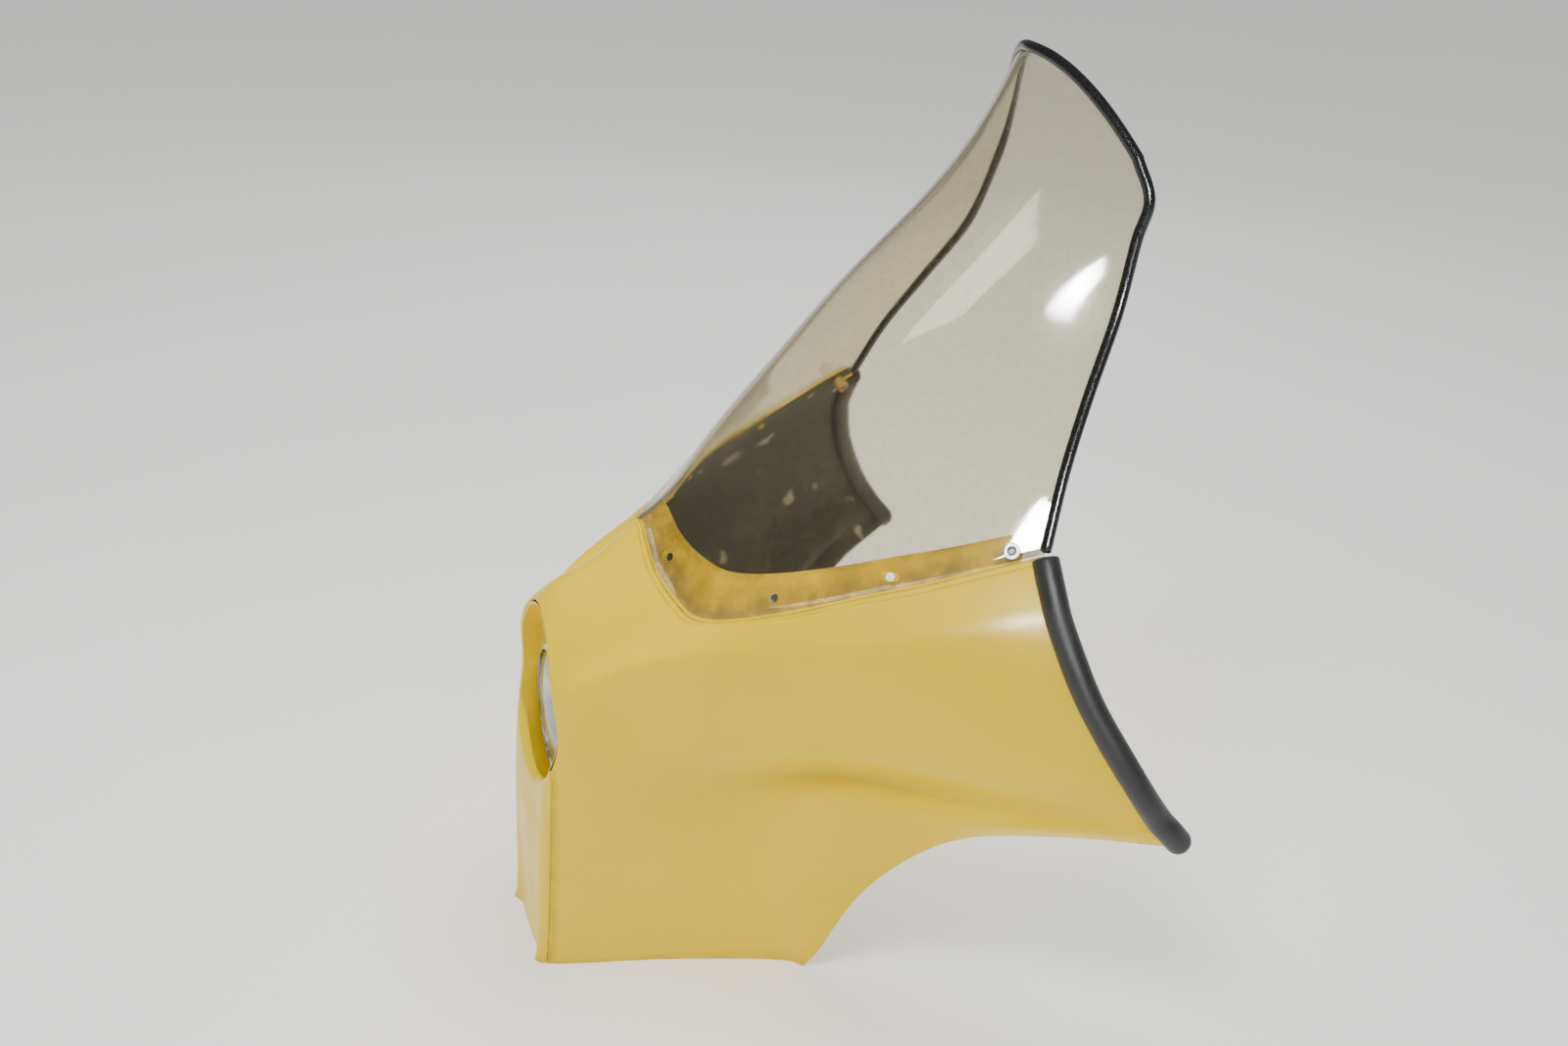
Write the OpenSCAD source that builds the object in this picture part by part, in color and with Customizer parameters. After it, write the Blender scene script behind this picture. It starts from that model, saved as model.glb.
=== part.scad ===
// Half fairing of a motorcycle with a tall tinted screen and a headlamp that tilts.
// X is across the machine (+X is its left side), the nose points to -Y, +Z is up.
// Z = 0 is the ground under the lower edge, and the mirror plane is X = 0.

/* [Fairing] */
// Width across the wing tips
fairing_w = 712; // [600:1:820]
// Length from the chin to the wing tips
fairing_l = 556; // [480:1:640]
// Height of the lower end of the screen's rear edge
fairing_h = 521; // [440:1:600]
// Wall of the moulded shell and nose panel
shell_t = 3; // [2:0.5:4]
// Spans between two control points of the skin
skin_steps = 3; // [2:1:4]

/* [Screen] */
// Height of the screen above its lower edge at the rear
screen_h = 409; // [300:1:460]
// Width of the screen at its upper corners
screen_w = 290; // [220:1:340]
// Thickness of the clear sheet
screen_t = 3; // [2:0.5:4]
// Height of the flange that carries the screen
flange_h = 24; // [18:1:32]
// Radius of the edge moulding round the screen
screen_trim_r = 5.5; // [4.5:0.5:7]

/* [Rear trim] */
// Radius of the soft tube on the rear edges
rear_trim_r = 13; // [9:0.5:15]
// Depth of the slot that grips the shell
rear_trim_grip = 13; // [8:0.5:14]

/* [Screen fixings] */
// Radius of a screen hole
screen_hole_r = 4.2; // [3.5:0.1:5]
// Shank radius of the screen screws
screw_r = 2.5; // [2:0.1:3]

/* [Headlamp] */
// Height of the headlamp's axis
lamp_z = 268; // [240:1:290]
// Radius of the lamp glass
lens_r = 70; // [60:1:76]
// Thickness of the glass
lens_t = 4; // [3:0.5:5]
// Rise of the domed glass
lens_dome = 10; // [6:1:14]
// Distance of the glass's rim behind the chin
lens_s = 45; // [42:1:52]
// Distance of the tilt axis behind the chin
pivot_s = 66; // [62:1:72]
// Radius of the pivot bolts
pivot_r = 3; // [2.5:0.5:4]
// Tilt of the lamp each way, in degrees
lamp_tilt = 4; // [2:0.5:4]
// Drop of the adjuster's axis below the lamp's axis
adjuster_drop = 92; // [88:1:100]
// Radius of the adjuster screw
adjuster_r = 3; // [2.5:0.5:4]

/* [Stay lugs] */
// Radius of the tapped hole in each lug, an M8 core
lug_hole_r = 3.4; // [2.5:0.1:4.2]
// Outer radius of a tapped insert
insert_r = 6; // [5:0.5:8]
// Length of a tapped insert
insert_l = 18; // [12:1:24]

/* [Hidden] */
$fn = 48;
// Gap between neighbours that are bonded or bolted together
gap = 0.4;
// Clearance of a shank in its hole
slip = 0.06;
// Extra length that carries a cutter past the faces that it cuts
over = 1;

// Lengths are counted from a plane in front of the chin; the foremost point of the
// moulding and the rearmost point of the trim stand at these distances behind it
front_s = 10.3;
rear_s = fairing_l + 10 + 0.83 * rear_trim_r;
// Y of that plane, which centres the whole part on the origin
chin_y = -(front_s + rear_s) / 2;

// Colours
paint = "#f7d417";
tint = [0.55, 0.53, 0.42, 0.5];
black = "#1b1b1d";
steel = "#b9bcc0";
zinc = "#c9ccd0";
clear = [0.86, 0.9, 0.9, 0.5];

// ---------------------------------------------------------------- curves

// Point on a Catmull-Rom span from b to c
function span(a, b, c, d, t) =
    0.5 * (2 * b + (c - a) * t + (2 * a - 5 * b + 4 * c - d) * t * t
    + (3 * b - a - 3 * c + d) * t * t * t);

function flip(p) = [-p[0], p[1], p[2]];

// Smooth curve through pts with k spans each; a mirrored start meets X = 0 squarely
function curve(pts, k, mirrored = false) =
    let (n = len(pts))
    [for (i = [0 : n - 2], s = [0 : k - 1])
        let (
            a = i > 0 ? pts[i - 1] : (mirrored ? flip(pts[1]) : 2 * pts[0] - pts[1]),
            d = i < n - 2 ? pts[i + 2] : 2 * pts[n - 1] - pts[n - 2]
        ) span(a, pts[i], pts[i + 1], d, s / k),
     pts[n - 1]];

// Grid of points through a net of rows, each row running from the centre to the rear
function net_grid(net, ku, kt) =
    let (fine = [for (row = net) curve(row, ku, true)],
         cols = len(fine[0]),
         up = [for (i = [0 : cols - 1]) curve([for (row = fine) row[i]], kt)])
    [for (j = [0 : len(up[0]) - 1]) [for (i = [0 : cols - 1]) up[i][j]]];

// Whole row, from the right rear round the nose to the left rear
function both(row) =
    concat([for (i = [len(row) - 1 : -1 : 1]) flip(row[i])], row);

function unit(v) = v / norm(v);

// Outward normal of a grid at row j, column i
function normal_at(g, j, i) =
    let (r = len(g) - 1, c = len(g[0]) - 1,
         du = g[j][min(i + 1, c)] - g[j][max(i - 1, 0)],
         dt = g[min(j + 1, r)][i] - g[max(j - 1, 0)][i])
    unit(cross(du, dt));

function normals(g) =
    [for (j = [0 : len(g) - 1]) [for (i = [0 : len(g[0]) - 1]) normal_at(g, j, i)]];

// Grid moved along its normals
function inset(g, nn, d) =
    [for (j = [0 : len(g) - 1]) [for (i = [0 : len(g[0]) - 1]) g[j][i] - nn[j][i] * d]];

// ---------------------------------------------------------------- skins

// Closed solid between two grids of the same size; keep[j][i] says which cells exist
module skin(outer, inner, keep) {
    w = len(outer[0]);
    h = len(outer);
    n = w * h;
    has = function (j, i) j >= 0 && i >= 0 && j < h - 1 && i < w - 1 && keep[j][i];
    pts = concat([for (row = outer) each row], [for (row = inner) each row]);
    wall = function (x, y) [[y + n, x + n, x], [y + n, x, y]];
    faces = [for (j = [0 : h - 2], i = [0 : w - 2]) if (keep[j][i])
        let (a = j * w + i, b = a + 1, c = b + w, d = a + w)
        each concat(
            [[a, d, c], [a, c, b], [a + n, b + n, c + n], [a + n, c + n, d + n]],
            has(j - 1, i) ? [] : wall(a, b),
            has(j, i + 1) ? [] : wall(b, c),
            has(j + 1, i) ? [] : wall(c, d),
            has(j, i - 1) ? [] : wall(d, a))];
    polyhedron(points = pts, faces = faces, convexity = 10);
}

// Solid swept through rings of points, each ring in the same order; closed joins the ends
module sweep(rings, closed = false) {
    m = len(rings[0]);
    n = len(rings);
    pts = [for (r = rings) each r];
    sides = [for (s = [0 : n - (closed ? 1 : 2)], k = [0 : m - 1])
        let (a = s * m + k, b = s * m + (k + 1) % m,
             c = ((s + 1) % n) * m + (k + 1) % m, d = ((s + 1) % n) * m + k)
        each [[a, b, c], [a, c, d]]];
    caps = closed ? [] : [
        [for (k = [m - 1 : -1 : 0]) k],
        [for (k = [0 : m - 1]) (n - 1) * m + k]];
    polyhedron(points = pts, faces = concat(sides, caps), convexity = 10);
}

// ---------------------------------------------------------------- body net

// Half width of the nose at the lamp, which clears the lamp's frame and surround
surround_t = 2.5;
hole_r = lens_r + 6.5;
nose_x = hole_r + 4.5 + surround_t + gap + shell_t;

// A net point: share of the half width, then of the length and of the height
function at(x, s, z) = [x * fairing_w / 712, chin_y + s * fairing_l / 556, z * fairing_h / 521];

// A point of the nose: share of its half width, distance behind the chin, height
// against the lamp's axis, which keeps the aperture round the lamp
function nose(x, s, z) = [x * nose_x, chin_y + s, lamp_z + z];

// Rows run up the side from the lower edge to the screen line, and each one runs
// from the centre of the nose to the rear edge.
lower_edge = [
    nose(0, 25, 4 - lamp_z), nose(0.42, 24, 2 - lamp_z), nose(0.74, 21, -lamp_z),
    at(93, 145, 0), at(126, 256, 0), at(146, 284, 6), at(176, 330, 118),
    at(228, 392, 203), at(292, 472, 239), at(360, 566, 257)];
ridge = [
    nose(0, 16, -200), nose(0.45, 18, -206), nose(0.77, 23, -222),
    at(96, 135, 88), at(122, 216, 150), at(140, 252, 196), at(172, 300, 227),
    at(232, 378, 242), at(296, 452, 259), at(358, 550, 276)];
hollow = [
    nose(0, 11, -118), nose(0.5, 15, -120), nose(0.86, 24, -122),
    at(101, 108, 178), at(118, 174, 224), at(136, 232, 248), at(168, 292, 260),
    at(222, 368, 261), at(288, 446, 272), at(354, 536, 292)];
crest = [
    nose(0, 16, -69), nose(0.52, 19, -54), nose(0.92, 25, -22),
    at(105, 92, 266), at(123, 152, 292), at(146, 218, 296), at(186, 290, 302),
    at(244, 366, 312), at(300, 434, 322), at(347, 510, 331)];
flank = [
    nose(0, 24, 30), nose(0.6, 25, 30), nose(1, 31, 28),
    at(108, 86, 322), at(134, 146, 350), at(164, 212, 362), at(202, 280, 372),
    at(244, 346, 382), at(280, 408, 392), at(312, 472, 401)];
brow = [
    nose(0, 30, 132), nose(0.5, 29, 114), nose(0.87, 29, 76),
    at(109, 82, 374), at(138, 140, 394), at(170, 206, 408), at(204, 272, 422),
    at(234, 336, 437), at(259, 394, 451), at(280, 451, 463)];
hood = [
    at(0, 87, 440), at(47, 91, 413), at(83, 98, 383),
    at(112, 120, 398), at(141, 160, 413), at(168, 218, 428), at(196, 278, 445),
    at(220, 336, 461), at(242, 392, 478), at(260, 447, 493)];
screen_line = [
    at(0, 130, 480), at(44, 134, 446), at(84, 149, 423),
    at(116, 160, 425), at(143, 190, 436), at(166, 236, 451), at(187, 290, 470),
    at(206, 340, 486), at(223, 392, 504), at(239, 446, 521)];

body_net = [lower_edge, ridge, hollow, crest, flank, brow, hood, screen_line];
k = skin_steps;
// Column of the seam between the shell and the nose panel
seam_i = 2 * k;
// Rows of the aperture's sill and of its brow
sill_j = 3 * k;
brow_j = 5 * k;

// The lower edge stands flat on the ground
function grounded(p) = [p[0], p[1], max(p[2], 0)];
half_body = [for (row = net_grid(body_net, k, k)) [for (p = row) grounded(p)]];
mid = len(half_body[0]) - 1;
raw_body = [for (row = half_body) both(row)];

// Loop round the headlamp aperture, from the left sill up and round
function loop_of(g) = concat(
    [for (j = [sill_j : brow_j]) g[j][mid + seam_i]],
    [for (i = [mid + seam_i - 1 : -1 : mid - seam_i]) g[brow_j][i]],
    [for (j = [brow_j - 1 : -1 : sill_j]) g[j][mid - seam_i]],
    [for (i = [mid - seam_i + 1 : mid + seam_i - 1]) g[sill_j][i]]);

// Place of a grid point in that loop, or -1 where it isn't on it
function loop_place(j, i) =
    let (a = i - mid + seam_i, side = 2 * k, across = 4 * k)
    j < sill_j || j > brow_j || a < 0 || a > 2 * seam_i ? -1
    : a == 2 * seam_i ? j - sill_j
    : j == brow_j ? side + across - a
    : a == 0 ? side + across + brow_j - j
    : j == sill_j ? 2 * side + across + a : -1;

// Closed loop evened out by a number of passes
function eased(loop, passes) =
    passes == 0 ? loop
    : let (n = len(loop))
      eased([for (m = [0 : n - 1])
          loop[m] / 2 + (loop[(m + 1) % n] + loop[(m + n - 1) % n]) / 4], passes - 1);

aperture = eased(loop_of(raw_body), 2);
whole_body = [for (j = [0 : len(raw_body) - 1]) [for (i = [0 : len(raw_body[0]) - 1])
    let (m = loop_place(j, i)) m < 0 ? raw_body[j][i] : aperture[m]]];

// ---------------------------------------------------------------- screen net

// Share of the way to the rear edge of each column of the screen line
shares = [for (p = screen_line) p[0] / screen_line[9][0]];
base = screen_line[9];

// A screen row from its centre to its edge: centre [s, z], edge [x, s, z], squareness.
// Lengths are counted from the lower rear corner and follow the screen's own sizes.
function screen_row(cs, cz, ex, es, ez, power) =
    let (kz = screen_h / 409, kx = screen_w / 290)
    [for (q = shares) [
        (base[0] - 237 * fairing_w / 712) * (1 - ez / 409)
            + lerp(ex * fairing_w / 712, ex * kx, min(max(ez, 0) / 300, 1)) * q,
        base[1] + (cs + (es - cs) * pow(q, power)) * (kz + fairing_l / 556) / 2,
        base[2] + (cz + (ez - cz) * q * q) * kz]];
function lerp(a, b, t) = a + (b - a) * t;

screen_net = [
    screen_line,
    screen_row(-246, 16, 212, 24, 70, 2.05),
    screen_row(-181, 92, 184, 56, 135, 2.2),
    screen_row(-111, 172, 159, 89, 199, 2.4),
    screen_row(-31, 256, 147, 105, 262, 2.1),
    screen_row(22, 330, 145, 113, 300, 1.8),
    screen_row(54, 409, 126, 106, 334, 1.35)];
half_screen = net_grid(screen_net, k, k);
// Row of the grid where the flange ends, counted in spans from the screen line
flange_rows = 3;
span_rise = 70 * screen_h / 409;

// The screen's outer face, lifted so that its inner face clears the flange
screen_outer = [for (row = half_screen) both(row)];
screen_nn = normals(screen_outer);
screen_inner = inset(screen_outer, screen_nn, screen_t);

// Outer face of the flange: it follows the screen's inner face a gap further in
flange_grid = [for (r = [0 : flange_rows])
    let (v = r / flange_rows * flange_h / span_rise * k)
    [for (i = [0 : len(screen_outer[0]) - 1])
        let (j = floor(v), f = v - j,
             p = lerp(screen_inner[j][i], screen_inner[j + 1][i], f),
             nn = unit(lerp(screen_nn[j][i], screen_nn[j + 1][i], f)))
        p - nn * 1.5 * gap]];

// The body's grid up to the screen line, then the step and the flange
body_grid = concat(whole_body, flange_grid);
body_nn = normals(body_grid);
body_inner = inset(body_grid, body_nn, shell_t);
rows = len(body_grid);
cols = len(body_grid[0]);

function in_nose(i) = i >= mid - seam_i && i < mid + seam_i;

// ---------------------------------------------------------------- shell

module fairing_shell() {
    // The flange stops one column short of the rear edges, where the edge moulding passes
    step_j = len(whole_body) - 1;
    keep = [for (j = [0 : rows - 2]) [for (i = [0 : cols - 2])
        (!in_nose(i) || j >= brow_j) && (j < step_j || (i > 0 && i < cols - 2))]];
    color(paint) difference() {
        skin(body_grid, body_inner, keep);
        screen_holes(well_r + slip);
    }
}

// Chin and lower front, bonded to the shell along two seams
module nose_panel() {
    keep = [for (j = [0 : rows - 2]) [for (i = [0 : cols - 2]) in_nose(i) && j < sill_j]];
    color(paint) translate([0, -gap, 0]) skin(body_grid, body_inner, keep);
}

// The aperture's loop drawn in by d in the XZ plane, at its own or at a given Y
function drawn_in(d, y = undef) =
    let (n = len(aperture))
    [for (m = [0 : n - 1])
        let (p = aperture[m], t = aperture[(m + 1) % n] - aperture[(m + n - 1) % n],
             o = unit([t[2], 0, -t[0]]))
        [p[0] - o[0] * d, y == undef ? p[1] + gap : y, p[2] - o[2] * d]];

// A loop pushed out to clear the lamp's hole and, below it, the carrier's screws
function round_lamp(loop, d) =
    [for (p = loop)
        let (v = [p[0], 0, p[2] - lamp_z], r = norm(v), low = max(0, -v[2] / r))
        [0, p[1], lamp_z] + v / r * max(r, hole_r + 6 + 12 * low - d)];

plate_s = lens_s + 5;
plate_y = chin_y + plate_s;
// Recess round the lamp: a wall that follows the aperture and a plate with the lamp's hole
module lamp_surround() {
    near = gap + shell_t;
    far = near + surround_t;
    back = plate_y + surround_t;
    outer = round_lamp(drawn_in(near, back), 0);
    inner = round_lamp(drawn_in(far, back), surround_t);
    outline = [for (p = round_lamp(drawn_in(far, back), surround_t / 2)) [p[0], p[2]]];
    color(paint) {
        sweep([drawn_in(near), outer, inner, drawn_in(far)], closed = true);
        difference() {
            translate([0, back, 0]) rotate([90, 0, 0]) linear_extrude(surround_t) polygon(outline);
            translate([0, 0, lamp_z]) along_y(plate_y - over, back + over, hole_r);
            at_carrier_screws() along_y(plate_y - over, back + over, m4_r + slip);
        }
    }
}

// ---------------------------------------------------------------- screen

// Columns of the screen holes in the screen's grid, counted from the mirror plane
hole_cols = [1.05 * k, 4.3 * k, 6.3 * k, 8.4 * k];
well_r = 4.2;
// Length between the ends' centres of the slots, which are the first and third holes
slot_l = 9;

// Value of a grid between its points
function blend(g, j, i) =
    let (a = floor(j), b = floor(i), u = i - b, v = j - a)
    lerp(lerp(g[a][b], g[a][b + 1], u), lerp(g[a + 1][b], g[a + 1][b + 1], u), v);

function hole_place(m, side) =
    let (i = mid + side * hole_cols[m], j = flange_h * 0.45 / span_rise * k)
    [blend(screen_outer, j, i), unit(blend(screen_nn, j, i))];

// Children stand with +Z along the sheet's outward normal at hole m
module at_hole(m, side) {
    h = hole_place(m, side);
    z = h[1];
    x = unit(cross([0, 0, 1], z));
    y = cross(z, x);
    multmatrix([
        [x[0], y[0], z[0], h[0][0]],
        [x[1], y[1], z[1], h[0][1]],
        [x[2], y[2], z[2], h[0][2]]]) children();
}

module screen_holes(r, slots = false) {
    h = 6 * shell_t;
    for (m = [0 : 3], side = [-1, 1])
        at_hole(m, side) translate([0, 0, -3 * shell_t - screen_t]) {
            cylinder(r = r, h = h);
            if (slots && m % 2 == 0) {
                for (e = [-0.5, 0.5]) translate([e * slot_l, 0, 0]) cylinder(r = r, h = h);
                translate([-slot_l / 2, -r, 0]) cube([slot_l, 2 * r, h]);
            }
        }
}

// A grid whose first row stands off the screen line by a small share of a span
seat = 0.03;
function off_line(g) =
    [for (j = [0 : len(g) - 1]) j > 0 ? g[j] : [for (i = [0 : cols - 1]) lerp(g[0][i], g[1][i], seat)]];

module screen() {
    h = len(screen_outer);
    keep = [for (j = [0 : h - 2]) [for (i = [0 : cols - 2]) true]];
    color(tint) difference() {
        skin(off_line(screen_outer), off_line(screen_inner), keep);
        screen_holes(screen_hole_r, slots = true);
    }
}

module screen_screws() {
    color(zinc) for (side = [-1, 1]) at_hole(3, side) {
        difference() {
            translate([0, 0, washer_t + 0.3]) cylinder(r1 = 4.6, r2 = 3.6, h = 2.6);
            for (a = [0, 90]) rotate(a) translate([-2.4, -0.5, washer_t + 1.6]) cube([4.8, 1, 3]);
        }
        translate([0, 0, -screw_l]) cylinder(r = screw_r, h = screw_l + washer_t + 0.4);
    }
}
washer_t = 1.4;
screw_l = 19;

module screen_washers() {
    color(zinc) for (side = [-1, 1]) at_hole(3, side) difference() {
        translate([0, 0, 0.2]) cylinder(r = 8, h = washer_t - 0.1);
        translate([0, 0, -over]) cylinder(r = screw_r + slip, h = washer_t + 3 * over);
    }
}

// Flanged rubber nuts that the screen screws draw up behind the flange
module well_nuts() {
    back = screen_t + gap + shell_t;
    color("#cdb48a") for (side = [-1, 1]) at_hole(3, side) difference() {
        union() {
            translate([0, 0, -back - 14]) cylinder(r = 7, h = 13.4);
            translate([0, 0, -back - 1]) cylinder(r = well_r - slip, h = shell_t + 1);
        }
        translate([0, 0, -screw_l - 2]) cylinder(r = screw_r + slip, h = 2 * screw_l);
    }
}

// ---------------------------------------------------------------- trims

// C profile that grips a sheet: a is how far it reaches over the sheet, b is across it
function grip_profile(r, sheet, grip, loose, n = 14) =
    let (half = sheet / 2 + loose, open = asin(half / r), c = grip - r)
    concat(
        [for (m = [0 : n - 1])
            let (a = open + (360 - 2 * open) * m / (n - 1)) [c + r * cos(a), r * sin(a)]],
        [[-gap, -half], [-gap, half]]);

// Sweep of a profile along an edge: points, inward directions and normals
module edge_trim(pts, nn, sheet, r, grip, loose, turn = 1) {
    prof = grip_profile(r, sheet, grip, loose);
    n = len(pts);
    rings = [for (m = [0 : n - 1])
        let (t = unit(pts[min(m + 1, n - 1)] - pts[max(m - 1, 0)]),
             d = unit(cross(nn[m], t)) * turn,
             b = unit(cross(t, d)) * turn,
             c = pts[m] - nn[m] * sheet / 2)
        [for (p = prof) c + d * p[0] + b * p[1]]];
    sweep(turn > 0 ? rings : [for (r = rings) [for (m = [len(r) - 1 : -1 : 0]) r[m]]]);
}

module rear_trim(side) {
    i = side > 0 ? cols - 1 : 0;
    last = len(half_body) - 1;
    // The tube is cut off just below the screen line
    top = lerp(body_grid[last][i], body_grid[last - 1][i], 0.12);
    edge = concat([for (j = [0 : last - 1]) body_grid[j][i]], [top]);
    nn = [for (j = [0 : last]) body_nn[min(j, last - 1)][i]];
    color(black) edge_trim(edge, nn, shell_t, rear_trim_r, rear_trim_grip, 2.5 * gap, side);
}

module rear_trim_left() { rear_trim(1); }
module rear_trim_right() { rear_trim(-1); }

// Edge moulding up the left edge, over the top and down the right edge
module screen_edge_trim() {
    h = len(screen_outer) - 1;
    c = cols - 1;
    start = 2.5 / span_rise * k;
    up = concat([start], [for (j = [ceil(start) : h]) j]);
    path = concat(
        [for (j = up) [j, c]],
        [for (i = [c - 1 : -1 : 0]) [h, i]],
        [for (m = [len(up) - 2 : -1 : 0]) [up[m], 0]]);
    on = function (g, q)
        let (a = floor(q[0])) lerp(g[a][q[1]], g[min(a + 1, h)][q[1]], q[0] - a);
    color(black) edge_trim(
        [for (q = path) on(screen_outer, q)],
        [for (q = path) unit(on(screen_nn, q))],
        screen_t, screen_trim_r, screen_trim_r, 1.25 * gap);
}

// ---------------------------------------------------------------- headlamp

// Cylinder along +Y between two Y values on the lamp's axis
module along_y(y0, y1, r) {
    translate([0, y0, 0]) rotate([-90, 0, 0]) cylinder(r = r, h = y1 - y0);
}

// Turned part on the lamp's axis; outline points are [radius, distance behind the chin]
module turned(outline) {
    translate([0, chin_y, lamp_z]) rotate([-90, 0, 0]) rotate_extrude($fn = 96) polygon(outline);
}

rim_r = lens_r + 3.5;
frame_s = lens_s + 8.3;
frame_r = lens_r + 5;
frame_back = pivot_s + 6;
carrier_s = plate_s + surround_t + gap;
carrier_t = 2.5;
carrier_r = hole_r + 1;
carrier_w = 7.5;
m4_r = 2;
ear_x = frame_r + 9;
ear_t = 3;
pivot_y = chin_y + pivot_s;
adjuster_z = lamp_z - adjuster_drop;

module at_carrier_screws() {
    for (a = [50, 130, 228, 312])
        translate([(carrier_r + carrier_w / 2) * cos(a), 0, lamp_z + (carrier_r + carrier_w / 2) * sin(a)])
            children();
}

// Height of the dome at radius r, counted back from its apex
dome_r = (lens_r * lens_r + lens_dome * lens_dome) / (2 * lens_dome);
function dome(r) = dome_r - sqrt(dome_r * dome_r - r * r);

module lamp_lens() {
    steps = 10;
    front = [for (m = [0 : steps]) let (r = lens_r * m / steps) [r, lens_s - lens_dome + dome(r)]];
    back = [for (m = [steps : -1 : 0])
        let (r = (lens_r - 1) * m / steps) [r, lens_s - lens_dome + dome(r) + lens_t]];
    color(clear) turned(concat(front, back));
}

module lens_gasket() {
    color(black) turned([[lens_r - 4, lens_s + lens_t + 0.2], [lens_r, lens_s + lens_t + 0.2],
        [lens_r, lens_s + lens_t + 1.8], [lens_r - 4, lens_s + lens_t + 1.8]]);
}

module lamp_rim() {
    lip = lens_s - lens_dome + dome(lens_r - 3.5) - 0.5;
    color(steel) turned([[lens_r - 3.5, lip - 2], [rim_r - 1, lip - 2], [rim_r, lip - 1],
        [rim_r, frame_s - 0.3], [lens_r + 1, frame_s - 0.3], [lens_r + 1, lip], [lens_r - 3.5, lip]]);
}

// Parabola of the reflector: its focal length and its vertex behind the chin
focal = 22;
vertex_s = lens_s + 8 + pow(lens_r - 2.5, 2) / (4 * focal);
function bowl_s(r) = vertex_s - r * r / (4 * focal);
neck_r = 20;
neck_end = bowl_s(neck_r) + 9;
bowl_t = 1.5;

module reflector() {
    steps = 10;
    radii = [for (m = [0 : steps]) neck_r + (lens_r - 4 - neck_r) * m / steps];
    inside = [for (r = radii) [r, bowl_s(r)]];
    outside = [for (m = [steps : -1 : 0]) [radii[m] + bowl_t, bowl_s(radii[m]) + bowl_t]];
    flange_s = lens_s + lens_t + 2;
    color(steel) turned(concat(
        [[neck_r, neck_end]], inside,
        [[lens_r - 4, flange_s], [lens_r, flange_s], [lens_r, flange_s + 2],
         [lens_r - 4 + bowl_t, flange_s + 2]],
        outside, [[neck_r + bowl_t, neck_end]]));
}
// Ring behind the rim that carries the pivots and the adjuster's lug
module lamp_frame() {
    color(black) {
        difference() {
            union() {
                turned([[lens_r - 0.8, frame_s], [frame_r, frame_s], [frame_r, frame_back],
                    [frame_r - 3, frame_back], [frame_r - 3, frame_s + 3], [lens_r - 0.8, frame_s + 3]]);
                for (side = [-1, 1])
                    translate([side * (frame_r + 3) - 4.5, pivot_y - 6, lamp_z - 6]) cube([9, 12, 12]);
                translate([-8, pivot_y - 4, adjuster_z - 9])
                    cube([16, 9, adjuster_drop - frame_r + 9 + 3]);
            }
            turned([[0, frame_s + 3 - over / 2], [frame_r - 3, frame_s + 3 - over / 2],
                [frame_r - 3, frame_back + over], [0, frame_back + over]]);
            turned([[0, frame_s - over], [lens_r - 0.8, frame_s - over],
                [lens_r - 0.8, frame_back + over], [0, frame_back + over]]);
            translate([-frame_r - 15, pivot_y, lamp_z]) rotate([0, 90, 0])
                cylinder(r = pivot_r + slip, h = 2 * frame_r + 30);
            translate([0, pivot_y - 4 - over, adjuster_z]) rotate([-90, 0, 0])
                cylinder(r = socket_r + slip, h = 9 + 2 * over);
        }
    }
}
socket_r = 6.5;
ball_r = 4.5;

// Nylon cup in the frame's lug; its lip keeps the adjuster's ball in
module adjuster_socket() {
    color("#e9e6da") translate([0, 0, adjuster_z]) difference() {
        along_y(pivot_y - ball_r - 1.4, pivot_y + ball_r + 1.6, socket_r);
        along_y(pivot_y - ball_r - 0.3, pivot_y + ball_r + 0.4, ball_r + 0.6);
        along_y(pivot_y, pivot_y + ball_r + 3, adjuster_r + 1.3);
    }
}

tab_s = pivot_s + 27;
tab_t = 3;
nut_l = 6;
screw_end_s = tab_s + 34;

// Screw with a ball end that works through the carrier's rear tab
module adjuster_screw() {
    y = chin_y + tab_s;
    color(zinc) translate([0, 0, adjuster_z]) {
        translate([0, pivot_y, 0]) sphere(r = ball_r);
        along_y(pivot_y, chin_y + screw_end_s, adjuster_r);
        difference() {
            along_y(chin_y + screw_end_s, chin_y + screw_end_s + 10, 9);
            translate([-10, chin_y + screw_end_s + 7, -0.8]) cube([20, 4, 1.6]);
        }
    }
}

strap_w = 30;
window_w = 20;
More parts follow.
